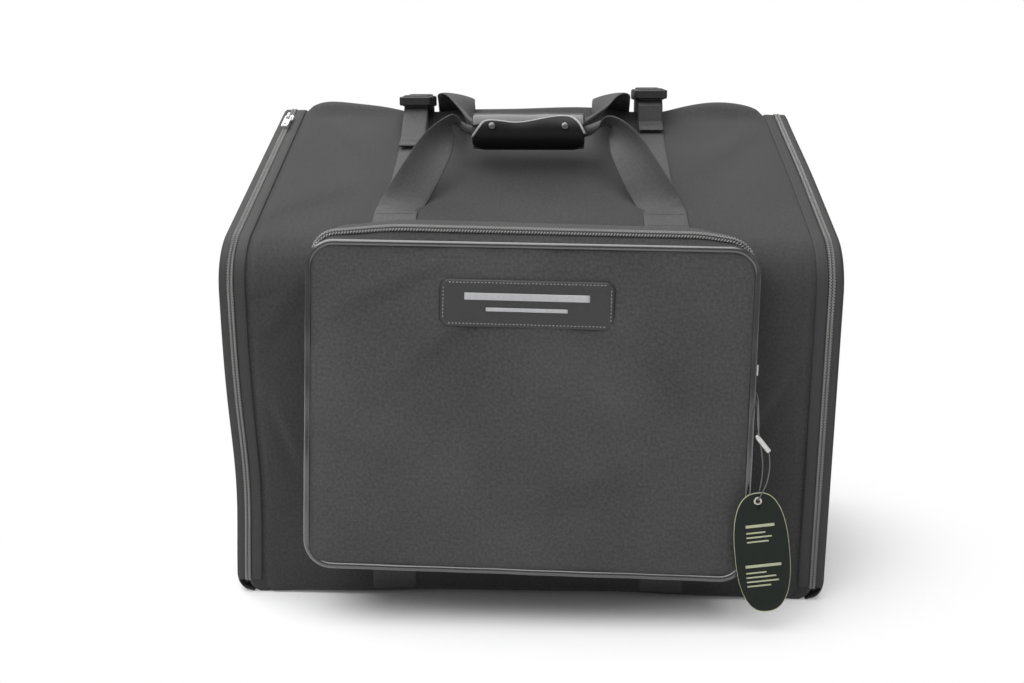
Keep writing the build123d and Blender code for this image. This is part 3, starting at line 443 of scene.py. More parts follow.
# Only partly metallic, so its pale colour also shows as diffuse brightness: painted highlight on top of the
# real plated metal.
plated_painted_highlight = surface("plated slider with painted highlight", (0.86, 0.86, 0.87), 0.24, "fuzz", 2.0, 0.02, on="Object", metallic=0.6,
                 uneven=0.1)
snap_metal = surface("lacquered snap", (0.16, 0.16, 0.16), 0.3, "fuzz", 2.0, 0.02, on="Object", metallic=0.9)
eyelet_metal = surface("rolled eyelet", (0.45, 0.43, 0.38), 0.35, "fuzz", 1.0, 0.02, on="Object",
                       metallic=1.0)
pale_cord = surface("pale cord", (0.12, 0.12, 0.12), 0.5, "fuzz", 0.4, 0.02)
pale_plastic = surface("pale lock", (0.55, 0.55, 0.53), 0.45, "fuzz", 0.6, 0.02, on="Object")
card_face = surface("laminated card", (0.006, 0.011, 0.007), 0.35, "fuzz", 6.0, 0.01, uneven=0.2,
                    specular=0.2)
card_core = surface("cut edge of the card", (0.42, 0.44, 0.3), 0.6, "fuzz", 1.0, 0.02)


# ---- Outline of the case ----
def case_line(start_z, end_z, step=3.0):
    """Side line of the flap: up the front, over the slope, down behind the ridge. Points, outward normals."""
    line = rounded_line([(-HALF_DEPTH, start_z), (-HALF_DEPTH, SHOULDER), (HALF_DEPTH, RIDGE),
                         (HALF_DEPTH, end_z)], [SHOULDER_ROUND, RIDGE_ROUND], step)
    along = unit(np.gradient(line, axis=0))
    return line, np.stack([-along[:, 1], along[:, 0]], axis=1)


# Folds of the flap: middle x and z, lean dz/dx, half span and depth.
FLAP_FOLDS = ((-190, 392, -0.55, 40, 2.6), (-205, 345, 0.25, 45, 2.0), (195, 385, 0.5, 40, 2.2),
              (0, 372, 0.04, 60, 1.6), (215, 180, 1.5, 22, 1.8), (-222, 150, -2.2, 18, 1.8),
              (-215, 250, 1.2, 20, 1.4))


def swell(x, y, z):
    """How far the padded flap stands out of its flat outline, by sums of waves and bells.

    The front is crowned, the slope sags between the handles, the ridge is slack beside the straps, grooves
    run beside the zips, and the cloth lies flat under the ridge zip's slider.
    """
    front = smooth((330 - z) / 60)
    top = 1 - front
    inner = 1 - np.exp(-np.clip(247 - np.abs(x), 0, None) / 7)
    out = inner * (1.2 * top + 1.6 * front)
    out = out + inner * front * 2.6 * np.cos(x / 175) * np.sin(np.clip(z, 0, 320) / 320 * math.pi)
    out = out - inner * top * (2.2 * np.cos(x / 175) * bell((y - 10) / 80))
    out = out - inner * top * 2.4 * bell((np.abs(x) - BAND_X) / 34)
    waves = np.sin(x / 37 + z / 61) * np.sin(z / 47 - x / 83)
    waves = waves + 0.7 * np.sin(x / 23 + 1.3) * np.sin((y + z) / 31)
    out = out + inner * waves * (0.9 * front + 0.8 * top * (1 - bell((np.abs(x) - BAND_X) / 40)))
    ridge = bell((y - 134) / 14) * smooth((z - 400) / 20)
    out = out + ridge * inner * (1.2 * np.sin(x / 34 + 0.6) - 3.5 * bell((np.abs(x) - BAND_X) / 30) + 2.0)
    slack = 3.0 * bell((x + 195) / 60) + 4.5 * bell((x + 225) / 34) + 9.0 * bell((x - 197) / 52)
    out = out + ridge * inner * slack
    for fold_x, fold_z, lean, span, depth in FLAP_FOLDS:
        across = ((z - fold_z) - lean * (x - fold_x)) / math.hypot(1, lean)
        near = inner * bell((x - fold_x) / span) * bell((z - fold_z) / (3 * span))
        out = out + depth * near * (0.8 * bell((across - 12) / 10) - bell(across / 7))
    out = out - 1.6 * bell((z - 276 - 0.12 * (x + 250)) / 3.5) * bell((x + 236) / 16)
    out = out - 1.8 * bell((np.abs(x) - 244) / 2.4)
    out = out * (1 - 0.97 * (1 - smooth((z - 411) / 9)) * smooth((y - 132) / 5))
    return np.logaddexp(2.5 * (out + 0.4), 0) / 2.5 - 0.4


def flap_point(x, y, z, ny, nz, lift=0.0):
    """Point of the flap's cloth: outline + normal * (swell + lift), its lower hem arched up in the middle."""
    out = swell(x, y, z) + lift
    arch = 5.5 * np.clip(1 - (x / 250) ** 2, 0, 1) * bell(z / 22) * (y < 0)
    return np.stack(np.broadcast_arrays(x, y + ny * out, z + nz * out + arch), axis=-1)


def case_y(z):
    """Depth of the outline's front and slope at a height."""
    line, _ = case_line(0, RIDGE_ZIP, 1.0)
    rising = line[: int(np.argmax(line[:, 1])) + 1]
    return np.interp(z, rising[:, 1], rising[:, 0])


# ---- Flap: front and slanted top ----
line, normal = case_line(0.4, RIDGE_ZIP + 0.2)
x = np.linspace(-259.8, 259.8, 175)
# Layers of the padded walls: name, finish, place of the outer face, wall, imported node, points kept.
LAYERS = (("cloth", nylon_flap_painted_shade, 0.0, 1.0, "cover", 1), ("padding", foam_cut, -1.1, 7.6, "foam", 2),
          ("inside", lining_plush, -9.0, 0.8, "lining", 2))
for layer, finish, depth, thick, cad, every in LAYERS:
    sheet = flap_point(x[None], line[:, :1], line[:, 1:], normal[:, :1], normal[:, 1:], depth)
    make(f"flap_{layer}", [grid(sheet[::every, ::every])], finish, "flap", f"front_{cad}", outward=CORE,
         thick=thick)

# ---- Ends of the shell, with their rims ----
top_line, _ = case_line(0, 0, 1.0)
upper = top_line[np.argmax(top_line[:, 1] > 200): len(top_line) - np.argmax(top_line[::-1, 1] > 200)]
for side, sign in (("left", -1), ("right", 1)):
    y = -HALF_DEPTH + 2 * HALF_DEPTH * (0.5 - 0.5 * np.cos(np.linspace(0, math.pi, 95)))
    height = np.interp(y, upper[:, 0], upper[:, 1])
    t = np.linspace(0, 1, 131)
    z = t[None] * height[:, None]
    yy = np.broadcast_to(y[:, None], z.shape)
    edge = np.minimum(np.minimum(HALF_DEPTH - np.abs(yy), z), (height[:, None] - z) * 0.92)
    inner = 1 - np.exp(-np.clip(edge - 3, 0, None) / 9)
    bulge = inner * (3.0 * np.sin(z / 430 * math.pi) * np.cos(yy / 150) + 0.9)
    bulge = bulge + inner * 0.6 * np.sin(yy / 31 + z / 57) * np.sin(z / 43 - yy / 71)
    xx = sign * (HALF_WIDTH - 0.2 + bulge)
    for layer, finish, depth, thick, cad, every in LAYERS:
        up, reach = (z, 1.0) if layer == "cloth" else (z + 4.0 * (1 - t), 1 - 5.6 / HALF_DEPTH)
        end = np.stack([xx + sign * depth, yy * reach, up * (1 + depth / 400) - depth * 0.4], axis=-1)
        finish = nylon_side if layer == "cloth" else finish
        make(f"{side}_end_{layer}", [grid(end[::every, ::every])], finish, "shell", f"{side}_end_{cad}",
             outward=CORE, thick=thick)

closed = rounded_line([(0, 2), (-138, 2), (-138, 314.8), (138, 435.0), (138, 2), (0, 2)],
                      [16, 49, 9, 14], 3.0)[:-1]
rims, rows = [], []
for sign in (-1, 1):
    path = np.column_stack([np.full(len(closed), sign * (HALF_WIDTH - 1.4)), closed])
    out = unit(path - np.array([sign * HALF_WIDTH, 0, 200.0])) * [0, 1, 1]
    rims.append(carry(path, out, ring(4.6, 4.4, 14, 2.4, -2.6), closed=True))
    inset = path + [sign * 1.8, 0, 0] - unit(out) * 3.2
    rows.append(stitches(np.vstack([inset, inset[:1]]), np.array([sign, 0, 0.0]), 4.0, 2.8, 0.6))
    edge = np.column_stack([np.full(107, sign * 264.3), np.full(107, 138.6), np.linspace(6, 431, 107)])
    rims.append(carry(edge, BACKWARDS, ring(9.2, 1.5, 12, 4.0)))
make("rims", rims, binding, "shell", "end_rims")
make("rim_stitching", rows, thread, "shell")

# ---- Main zip: down both sides and across behind the ridge ----
side_line, side_normal = case_line(ZIP_FOOT, RIDGE_ZIP, 2.0)
side_path, side_up = (np.column_stack([np.zeros(len(v)), v]) for v in (side_line, side_normal))
ridge_path = resample([[x, HALF_DEPTH, RIDGE_ZIP] for x in (-CHAIN_X - 1, CHAIN_X + 1)], 4.0)
ridge_up = np.broadcast_to(BACKWARDS, ridge_path.shape)
shell_tape, flap_tape, shell_coil, flap_coil, tape_rows = [], [], [], [], []
for sign in (-1, 1):
    for tapes, away, wide, high in ((shell_tape, 5.7, 6.2, 1.5), (flap_tape, -8.0, 10.6, 1.3)):
        tapes.append(carry(side_path + [sign * (CHAIN_X + away), 0, 0], side_up, ring(wide, high, 10, 3.0)))
    row = side_path + [sign * (CHAIN_X - 10.8), 0, 0] + side_up * 1.3
    tape_rows.append(stitches(row, side_up, 3.4, 2.4, 0.5))
    for coils, away in ((shell_coil, HALF_CHAIN), (flap_coil, -HALF_CHAIN)):
        coils.append(coil(side_path + [sign * (CHAIN_X + away), 0, 0], side_up, 3.2, 2.3, 0.4))
for tapes, coils, way in ((shell_tape, shell_coil, -1), (flap_tape, flap_coil, 1)):
    tapes.append(carry(ridge_path + [0, 0, way * 8.0], ridge_up, ring(10.5, 1.3, 10, 3.0)))
    coils.append(coil(ridge_path + [0, 0, way * HALF_CHAIN], ridge_up, 3.2, 2.3, 0.3))
make("shell_tape", shell_tape, zip_tape, "shell", "shell_zip_tape")
make("flap_tape", flap_tape, zip_tape, "flap", "flap_zip_tape")
make("shell_coil", shell_coil, coil_painted_glint, "shell", "shell_zip_coil")
make("flap_coil", flap_coil, coil_painted_glint, "flap", "flap_zip_coil")
make("flap_tape_stitching", tape_rows, thread, "flap")

# ---- Back and base, each with its foam and lining ----
xx, zz = np.meshgrid(np.linspace(-260.2, 260.2, 131), np.linspace(9.8, 403.8, 99), indexing="ij")
edge = 1 - np.exp(-np.clip(np.minimum(250 - np.abs(xx), np.minimum(zz - 12, 388 - zz)), 0, None) / 8)
shape = edge * (-0.2 + 0.35 * np.sin(xx / 41 + zz / 57) * np.sin(zz / 49))
back = np.stack([xx, HALF_DEPTH + shape, zz], axis=-1)
make("back_cloth", [grid(back)], nylon_side, "shell", "back_cover", outward=CORE, thick=1.0)
ripple = edge * (0.35 + 0.35 * np.sin(xx / 29 + zz / 37) * np.sin(zz / 43 - xx / 51))
for layer, cad, finish, thick, depth, wave in (("padding", "foam", foam_cut, 7.2, 1.5, 0.4),
                                               ("inside", "lining", lining_plush, 0.8, 9.0, 1.0)):
    sheet = np.stack([xx, HALF_DEPTH - depth - wave * ripple, zz], axis=-1)[::2, ::2]
    make(f"back_{layer}", [grid(sheet)], finish, "shell", f"back_{cad}", outward=CORE, thick=thick)

xx, yy = np.meshgrid(np.linspace(-260.2, 260.2, 105), np.linspace(-129.8, 139.8, 55), indexing="ij")
lift = 0.6 * smooth((np.abs(xx) - 250) / 10) + 1.2 * np.cos(xx / 165) ** 2 * np.cos(yy / 95) ** 2
base = np.stack([xx, yy, 0.02 + lift], axis=-1)
make("base_cloth", [grid(base)], nylon_flat, "shell", "base_cover", outward=CORE, thick=1.0)
ripple = 0.35 + 0.35 * np.sin(xx / 29 + yy / 37) * np.sin(yy / 43 - xx / 51)
for layer, cad, finish, thick, depth, wave in (("padding", "foam", foam_cut, 4.8, 4.05, 0.1),
                                               ("inside", "lining", lining_plush, 0.8, 9.0, 1.0)):
    sheet = np.stack([xx, yy, depth + wave * ripple], axis=-1)[::2, ::2]
    make(f"base_{layer}", [grid(sheet)], finish, "shell", f"base_{cad}", outward=CORE, thick=thick)


# ---- Webbing ----
def flat_profile(width, thick, curl=0.0, count=11):
    """Closed section of a woven band: flat faces, rounded selvages and a curl of x^2."""
    t = np.sin(np.linspace(-math.pi / 2, math.pi / 2, count))
    half = thick / 2 * (0.25 + 0.75 * np.sqrt(np.clip(1 - t**8, 0, 1)))
    lift = curl * (4 * t**2 - 2)
    top = np.stack([t * width / 2, lift + half], axis=1)
    return np.vstack([top, np.stack([t[::-1] * width / 2, lift[::-1] - half[::-1]], axis=1)])


def strap(rows, step=2.0):
    """Band through rows of centre, way across, width, thickness and curl, by a Catmull-Rom curve."""
    rows = np.asarray(rows, float)
    length = np.linalg.norm(np.diff(rows[:, :3], axis=0), axis=1).sum()
    rows = spline(rows, int(length / step))
    path = rows[:, :3]
    along = unit(np.gradient(path, axis=0))
    side = unit(rows[:, 3:6] - along * (rows[:, 3:6] * along).sum(1, keepdims=True))
    profile = np.stack([flat_profile(w, t, c) for w, t, c in rows[:, 6:9]])
    return carry(path, np.cross(along, side) * -1, profile)


def upright_band(x, heights, y, width, step):
    """Flat band that hangs straight down the back through points at the heights."""
    return strap([[x, y, z, 1, 0, 0, width, WEB, 0] for z in heights], step)


def strap_yz(x, corners, radius, step=0.8):
    """Closure ribbon whose middle line lies in the plane X = x, its corners rounded."""
    line = rounded_line(corners, [radius] * (len(corners) - 2), step)
    path = np.column_stack([np.full(len(line), float(x)), line])
    return carry(path, np.cross([1.0, 0, 0], unit(np.gradient(path, axis=0))), flat_profile(RIBBON, WEB))


def cross_row(point, up, width):
    """Row of stitches across a band, along X."""
    line = point + np.linspace(-0.5, 0.5, 9)[:, None] * np.array([1.0, 0, 0]) * width
    return stitches(line, np.array(up, float), 2.9, 2.1, 0.6)


def box_rows(centre, across, down, up, width, length):
    """Sewn box with a cross in it, on a band's end."""
    centre, across, down = (np.array(v, float) for v in (centre, across, down))
    c = [centre + across * a * width / 2 + down * b * length / 2
         for a, b in ((-1, -1), (1, -1), (1, 1), (-1, 1))]
    return [stitches(np.linspace(c[a], c[b], 7), np.array(up, float), 2.9, 2.1, 0.6)
            for a, b in ((0, 1), (1, 2), (2, 3), (3, 0), (0, 2), (1, 3))]


def slope_at(y, lift=0.0):
    """Point of the slanted top's cloth at X = BAND_X, and the slope's normal."""
    z = np.interp(y, upper[:, 0], upper[:, 1])
    ny, nz = unit(np.array([-RISE, 1.0]))
    return flap_point(BAND_X, float(y), float(z), ny, nz, lift)


SLOPE_UP = unit(np.array([0.0, -RISE, 1.0]))
GRIP = np.array([-3.0, 12.0, 416.0])
GRIP_X = np.array([-57.0, 51.0])

# Front handle: each leg is sewn flat on the slope, stands up, folds and runs into the grip as a bundle.
# Rows of a leg: centre, way across (c turns it towards the other leg), width, thickness and curl.
legs, leg_rows = [], []
for sign in (-1, 1):
    foot, sewn = slope_at(-98.0, 0.9), slope_at(-73.0, 0.9)
    ax, c = sign * 122.6, -sign
    rows = [[ax, foot[1], foot[2], 1, 0, 0, BROAD, WEB, 0],
            [ax, (foot[1] + sewn[1]) / 2, (foot[2] + sewn[2]) / 2, 1, 0, 0, BROAD, WEB, 0],
            [ax, sewn[1], sewn[2], 1, 0, 0, BROAD, WEB, 0],
            [sign * 120.6, -65.5, sewn[2] + 3.9, 1, 0, -0.04 * c, BROAD, WEB, 0],
            [sign * 114, -56.5, 359.5, 0.98, 0.05 * c, -0.16 * c, 39, WEB, 0.2],
            [sign * 101, -44, 382, 0.9, 0.1 * c, -0.38 * c, 37, 1.8, 0.8],
            [sign * 90.5, -30, 402, 0.84, 0.25 * c, -0.45 * c, 33, 2.2, 1.2],
            [sign * 80, -13, 419, 0.5, 0.8 * c, -0.35 * c, 25, 3.2, 1.2],
            [sign * 72.0 - 1.5, -1, 423.5, 0.2, 0.97 * c, -0.1 * c, 18, 4.5, 0.8],
            [sign * 60.0 - 3, 4, 418.5, 0.1, 0.98 * c, 0, 15, 7, 0.3],
            [sign * 49 - 3, 4.8, 416, 0, c, 0, 13, 9, 0], [sign * 20 - 3, 4.8, 416, 0, c, 0, 13, 9, 0]]
    legs.append(strap(rows, 1.6))
    leg_rows += [cross_row(slope_at(y, 1.9) * [0, 1, 1] + [ax, 0, 0], SLOPE_UP, 36) for y in (-95.0, -77.0)]
core = np.column_stack([np.linspace(*GRIP_X, 12), np.full(12, GRIP[1]), np.full(12, GRIP[2])])
half_turn = np.linspace(-math.pi / 2, math.pi / 2, 15)
front_half = np.stack([14.6 * np.cos(half_turn) + 0.3, 14.6 * np.sin(half_turn)], axis=1)
legs.append(carry(core, UPWARDS, front_half))
make("front_handle_webbing", legs, webbing, "flap", "front_handle")
make("front_handle_stitching", leg_rows, thread, "flap")

# Rear handle: each leg rises off the back, arches over the ridge and rolls its inner edge down to the grip.
legs = []
for sign in (-1, 1):
    ax, c = sign * LOOP_X, -sign
    rows = [[ax, y, z, 1, 0, 0, BROAD, WEB, curl]
            for y, z, curl in ((140.9, 381.0, 0), (146.5, 388.5, 0), (151.8, 400.0, 0), (152.4, 416.0, 0.2),
                               (149.4, 432.0, 0.5), (139.0, 445.5, 0.7))]
    rows += [[sign * 82, 117, 449, 0.97, 0.05 * c, -0.14 * c, BROAD, WEB, 0.9],
             [sign * 77, 88, 446, 0.86, 0.16 * c, -0.42 * c, 38, 1.8, 1.1],
             [sign * 72, 61, 438, 0.62, 0.28 * c, -0.7 * c, 34, 2.4, 1.0],
             [sign * 66, 40, 427, 0.35, 0.3 * c, -0.86 * c, 26, 3.6, 0.6],
             [sign * 56 - 3, 24, 419, 0.12, 0.25 * c, -0.95 * c, 18, 6.5, 0.2],
             [sign * 46 - 3, 19.2, 416, 0, 0.2 * c, -c, 13, 9, 0],
             [sign * 20 - 3, 19.2, 416, 0, 0.2 * c, -c, 13, 9, 0]]
    legs.append(strap(rows, 1.6))
legs.append(carry(core, UPWARDS, front_half * [-1, 1]))
make("rear_handle_webbing", legs, webbing, "rear_handle", "rear_handle")


# ---- Grip with its wrap and snaps ----
def grip_point(x, angle, radius):
    """Point round the grip's axis; the angle runs from the front of the grip upwards."""
    x, angle, radius = np.broadcast_arrays(x, angle, radius)
    return np.stack([x, GRIP[1] - radius * np.cos(angle), GRIP[2] + radius * np.sin(angle)], axis=-1)


x, a = np.linspace(*GRIP_X, 64)[:, None], np.radians(np.linspace(20, 285, 80))[None]
swelling = 17.4 + 0.25 * np.sin(x / 9 + 2 * a) * np.sin(a * 3 + x / 31)
swelling = swelling - 0.5 * bell((np.abs(x + 3) - 54) / 2.5)
make("grip_leather", [grid(grip_point(x, a, swelling))], leatherette, "flap", "grip_sleeve",
     outward=GRIP, thick=2.0, settled=False)

# Free edge of the wrap as (x, height / grip radius): two humps, the right one higher.
free_edge = [(-57.5, -0.34), (-51, 0.20), (-46, 0.52), (-39, 0.60), (-28, 0.57), (-16.5, 0.52), (-6, 0.56),
             (6, 0.66), (19, 0.79), (30, 0.86), (39, 0.80), (46, 0.45), (51.5, -0.17)]
edge = spline(free_edge, 120)
x = np.linspace(*GRIP_X, 90)
rise = np.arcsin(np.clip(np.interp(x, edge[:, 0], edge[:, 1]) * 17.5 / 18.9, -1, 0.98))
t = np.linspace(0, 1, 40)[None]
lowest = np.radians(-73 + 34 * smooth((np.abs(x + 3) - 43) / 11))[:, None]
angles = lowest + (rise[:, None] - lowest) * t
radius = (18.7 + 0.55 * np.sin(x / 8)[:, None] * bell((1 - t) / 0.18)
          + 0.35 * np.sin(x / 15 + 1)[:, None] * np.sin(3 * t))
wrap = grip_point(x[:, None], angles, radius)
make("grip_wrap_leather", [grid(wrap)], wrap_hide, "grip_wrap", "grip_flap", outward=GRIP, thick=1.7)
rim = resample(wrap[:, -1] + unit(wrap[:, -1] - GRIP) * [0, -0.7, -0.7], 1.2)
make("grip_wrap_edge", [carry(rim, unit(rim - GRIP), ring(1.5, 2.2, 8, 2.5, -1.1))], pale_print, "grip_wrap")


def lathe(centre, axis, outline, count=28):
    """Surface of revolution: centre + axis * h + (u cos a + v sin a) * r for an outline of (r, h)."""
    axis = unit(np.array(axis, float))
    u = unit(np.cross(axis, [0.3, 0.9, 0.2]))
    v = np.cross(axis, u)
    a = np.linspace(0, 2 * math.pi, count, endpoint=False)
    outline = np.asarray(outline, float)
    r, h = outline[:, :1], outline[:, 1:]
    points = (r[..., None] * (np.cos(a)[None, :, None] * u + np.sin(a)[None, :, None] * v)
              + h[..., None] * axis + np.array(centre, float))
    return grid(points, round_v=True)


snap_turn = math.radians(16)
snap_way = [0, -math.cos(snap_turn), math.sin(snap_turn)]
cap = [(0, 1.5), (1.6, 1.45), (2.7, 1.2), (3.3, 0.7), (3.6, 0.2), (3.6, -0.6), (0, -0.6)]
snaps = [lathe(grip_point(GRIP[0] + sign * 35, snap_turn, 19.6), snap_way, cap) for sign in (-1, 1)]
make("snaps", snaps, snap_metal, "grip_wrap", "snap_caps")

# ---- Closures: side, middle of the buckle's mouth (x, y, z) and end of the plug's tail ----
BUCKLES = (("left", -BAND_X, 104.0, 444.0, 42.0), ("right", BAND_X, 112.0, 451.0, 76.0))
BAR_FRONT, BAR_BACK = 27.7, 34.05
anchors = []
for side, x, y, z, tail_end in BUCKLES:
    front, back = y + BAR_FRONT, y + BAR_BACK
    rise = [(140.8, 380.4), (141.5, 384.5), (151.5, 396.9), (153.1, 413.4), (max(140, back) + 11.5, z - 4.15),
            (back, z)]
    loop = [(back, z - 3), (back, z + 6.6), (front, z + 6.6), (front, z - 6.6), (back, z - 6.6), (back, z + 1)]
    make(f"{side}_closure_webbing", [strap_yz(x, rise, 4.0), strap_yz(x, loop, 1.0)], webbing,
         f"{side}_closure", f"{side}_closure_strap")
    low, high = z - 5.55, z + 5.55
    end, run = (float(np.interp(at, upper[:, 0], upper[:, 1])) for at in (tail_end, tail_end + 14))
    tail = [(y - 1, low), (y - 6.5, low), (y - 6.5, high), (y - 13.5, high), (y - 13.5, low),
            (y - 19.5, low - 6), (tail_end + 14, run + 6.5), (tail_end, end + 4.4)]
    hem = [(tail_end + 7, (run + end) / 2 + 6.8), (tail_end, end + 5.9), (tail_end - 0.6, end + 4.6)]
    make(f"{side}_tail_webbing", [strap_yz(x, tail, 0.9), strap_yz(x, hem, 0.5)], webbing, f"{side}_plug",
         f"{side}_tail")
    hem_row = cross_row(np.array([x, tail_end + 5.5, (run * 0.4 + end * 0.6) + 8.0]), SLOPE_UP, 22)
    make(f"{side}_tail_stitching", [hem_row], thread, f"{side}_plug")
    lie = [tuple(slope_at(at, 0.9)[1:]) for at in np.arange(-55, y - 22, 8.0)]
    anchors.append(strap_yz(x, lie + [(y - 10, z - 16), (y - 3, z - 9.3)], 3.0, 1.2))
make("closure_anchor_webbing", anchors, webbing, "flap", "closure_anchors", settled=False)

# ---- Bands under the pocket and on the back ----
bands, rows = [], []
for sign in (-1, 1):
    z = np.linspace(3.4, 48, 30)[:, None]
    t = np.sin(np.linspace(-math.pi / 2, math.pi / 2, 21))[None]
    lift = 1.7 * (1 - t**12) - 0.25
    bands.append(grid(flap_point(sign * BAND_X + t * BROAD / 2, -HALF_DEPTH, z, -1.0, 0.0, lift)))
    line = flap_point(sign * BAND_X + np.linspace(-17.5, 17.5, 12), -HALF_DEPTH, 9.0, -1.0, 0.0, 1.55)
    rows.append(stitches(line, FORWARDS, 2.9, 2.1, 0.6))
make("front_bands", bands, webbing, "flap", "front_webbing", outward=CORE)
make("front_band_stitching", rows, thread, "flap")

back_bands, sewn_ends, rows, sewn_boxes = [], [], [], []
for sign in (-1, 1):
    back_bands.append(upright_band(sign * BAND_X, (280, 200, 100, 9.8), BACK_WEB, BROAD, 4.0))
    for s in (-1, 1):
        line = np.column_stack([np.full(40, sign * BAND_X + s * 17.0), np.full(40, BACK_THREAD),
                                np.linspace(14, 276, 40)])
        rows.append(stitches(line, BACKWARDS, 3.6, 2.6, 0.6))
    for x, heights, width, middle, wide, long in ((LOOP_X, (380, 359, 338), BROAD, 358, 32, 30),
                                                  (CLOSURE_X, (380, 363, 346), RIBBON, 362, 19, 24)):
        sewn_ends.append(upright_band(sign * x, heights, BACK_WEB, width, 3.0))
        sewn_boxes += box_rows([sign * x, BACK_THREAD, middle], [1, 0, 0], UPWARDS, BACKWARDS, wide, long)
rows += sewn_boxes
make("back_bands", back_bands, webbing, "shell", "body_webbing")
make("sewn_strap_ends", sewn_ends, webbing, "shell", "strap_anchors")


# ---- Shoulder straps ----
def rounded_square(x, y, width, height, radius):
    """Square grid pushed into a rectangle with round corners, by x sqrt(1 - y^2/2) in each corner."""
    px, py = x * width / 2, y * height / 2
    a = np.clip((np.abs(px) - (width / 2 - radius)) / radius, 0, 1)
    b = np.clip((np.abs(py) - (height / 2 - radius)) / radius, 0, 1)
    shift_x = radius * (a * np.sqrt(1 - b**2 / 2) - a)
    shift_y = radius * (b * np.sqrt(1 - a**2 / 2) - b)
    return px + np.sign(px) * shift_x, py + np.sign(py) * shift_y


s = np.linspace(-1, 1, 61)
px, py = rounded_square(*np.meshgrid(s, s, indexing="ij"), 220, 50, 8.3)
edge = 1 - np.exp(-np.minimum(110 - np.abs(px), 25 - np.abs(py)) / 1.2)
make("yoke_cloth", [grid(np.stack([px, 140.2 + 1.4 * edge, py + 305], axis=-1))], nylon_flat, "shell",
     "strap_yoke", outward=CORE)
for inset in (0, 3):
    w, top, low = 106 - inset, 327 - inset, 283 + inset
    line = rounded_line([(0, top), (w, top), (w, low), (-w, low), (-w, top), (0, top)], [7] * 4, 2.0)
    rows.append(stitches(np.column_stack([line[:, 0], np.full(len(line), 141.7), line[:, 1]]),
                         BACKWARDS, 3.4, 2.5, 0.6))
make("back_stitching", rows, thread, "shell")
trims, rows = [], []
for side, sign in (("left", -1), ("right", 1)):
    middle = spline([(60 * sign, 330), (62.5 * sign, 290), (83 * sign, 226), (100 * sign, 160),
                     (105.4 * sign, 122)], 100)
    path = np.column_stack([middle[:, 0], np.full(100, BACK_THREAD), middle[:, 1]])
    t = np.linspace(0, 1, 100)
    rounding = 2 * np.clip(np.abs(t - 0.5) - 0.475, 0, None) / 0.05
    full = 13.4 * np.sqrt(np.clip(1 - rounding ** 2, 0, 1)) + 0.4
    a = np.linspace(0, math.pi, 25)
    top = np.stack([-np.cos(a) * 30, np.sin(a) ** 0.55], axis=1)
    low = np.stack([np.linspace(29.5, -29.5, 9), np.zeros(9)], axis=1)
    profile = np.stack([np.vstack([top, low]) * [1, f] for f in full])
    profile[:, :25, 1] += 0.5 * np.sin(t * 60)[:, None] * np.sin(a)[None] * bell((np.abs(top[:, 0]) - 22) / 5)
    pad = make(f"{side}_pad", [carry(path, BACKWARDS, profile)], nylon_flat, "shell",
               f"{side}_shoulder_strap")
    _, way, _ = sideways(path, BACKWARDS)
    for s in (-1, 1):
        trims.append(carry(path + way * s * 29.0 + [0, 2.2, 0], BACKWARDS, ring(3.2, 5.2, 12, 2.5, -2.4)))
        line = path[4:-4] + way[4:-4] * s * 24.5 + [0, 11.0, 0]
        rows.append(stitches(line, BACKWARDS, 3.6, 2.6, 0.6))
make("pad_bindings", trims, binding, "shell")

# Lower straps: a loose end over a sewn end, slanting out from the ladder lock, and the turn through the lock.
lower = []
for sign in (-1, 1):
    way = unit(np.array([90.0 * sign, 0, -64.0]))
    across = np.cross(way, BACKWARDS)
    foot, top = np.array([196.0 * sign, 0, 30.0]), np.array([106.0 * sign, 0, 94.3])
    for y, shares in ((142.4, (0, 0.35, 0.7, 1)), (BACK_WEB, (0.4, 0.6, 0.8, 1))):
        lower.append(strap([[*(top + (foot - top) * t + [0, y, 0]), *across, RIBBON, WEB, 0]
                            for t in shares], 3.0))
    rows += box_rows(foot - way * 12 + [0, 143.3, 0], np.abs(across) * [1, 0, np.sign(across[2] * across[0])],
                     way, BACKWARDS, 19, 18)
    lower.append(strap([[106 * sign, y, z, 1, 0, 0, RIBBON, WEB, 0]
                        for y, z in ((142.6, 122), (144.4, 111), (144.4, 104), (142.6, 94))], 1.0))
make("lower_strap_webbing", lower, webbing, "shell", "lower_straps")
make("shoulder_stitching", rows, thread, "shell")

# ---- Pocket ----
LEAN, TURN = math.radians(7.0), math.radians(1.2)
OUT = np.array([0, -math.cos(LEAN), math.sin(LEAN)])
ACROSS = np.array([math.cos(TURN), -math.sin(TURN) * math.sin(LEAN), -math.sin(TURN) * math.cos(LEAN)])
UP = np.cross(OUT, ACROSS)
POCKET = np.array([-2.0, -200.0, 53.0])
WIDE, TALL, CORNER, SETBACK = 372.0, 280.0, 20.0, 10.0


def on_pocket(x, y, out=0.0, back=0.0):
    """Point on the pocket's face, raised along its normal and set back along Y; its top sags in front."""
    x, y, out, back = np.broadcast_arrays(x, y, out, back)
    slump = smooth((y - 215) / 65) * (4.6 - 0.006 * x)
    raised = 7.2 * smooth((y - 262) / 18) * (0.15 + 0.85 * smooth((x + 186) / 80) * smooth((192 - x) / 60))
    y = y - slump * np.clip(1 - back / SETBACK, 0, 1) + raised * np.clip(back / SETBACK, 0, 1)
    point = POCKET + x[..., None] * ACROSS + y[..., None] * UP + out[..., None] * OUT
    point[..., 1] += back
    return point


def pocket_loop(step=2.0):
    """Outline of the pocket's face, anticlockwise from its middle foot: points and way outwards."""
    w, h = WIDE / 2, TALL
    line = rounded_line([(0, 0), (w, 0), (w, h), (-w, h), (-w, 0), (0, 0)], [CORNER] * 4, step)[:-1]
    along = unit(np.roll(line, -1, 0) - np.roll(line, 1, 0))
    return line, np.stack([along[:, 1], -along[:, 0]], axis=1)


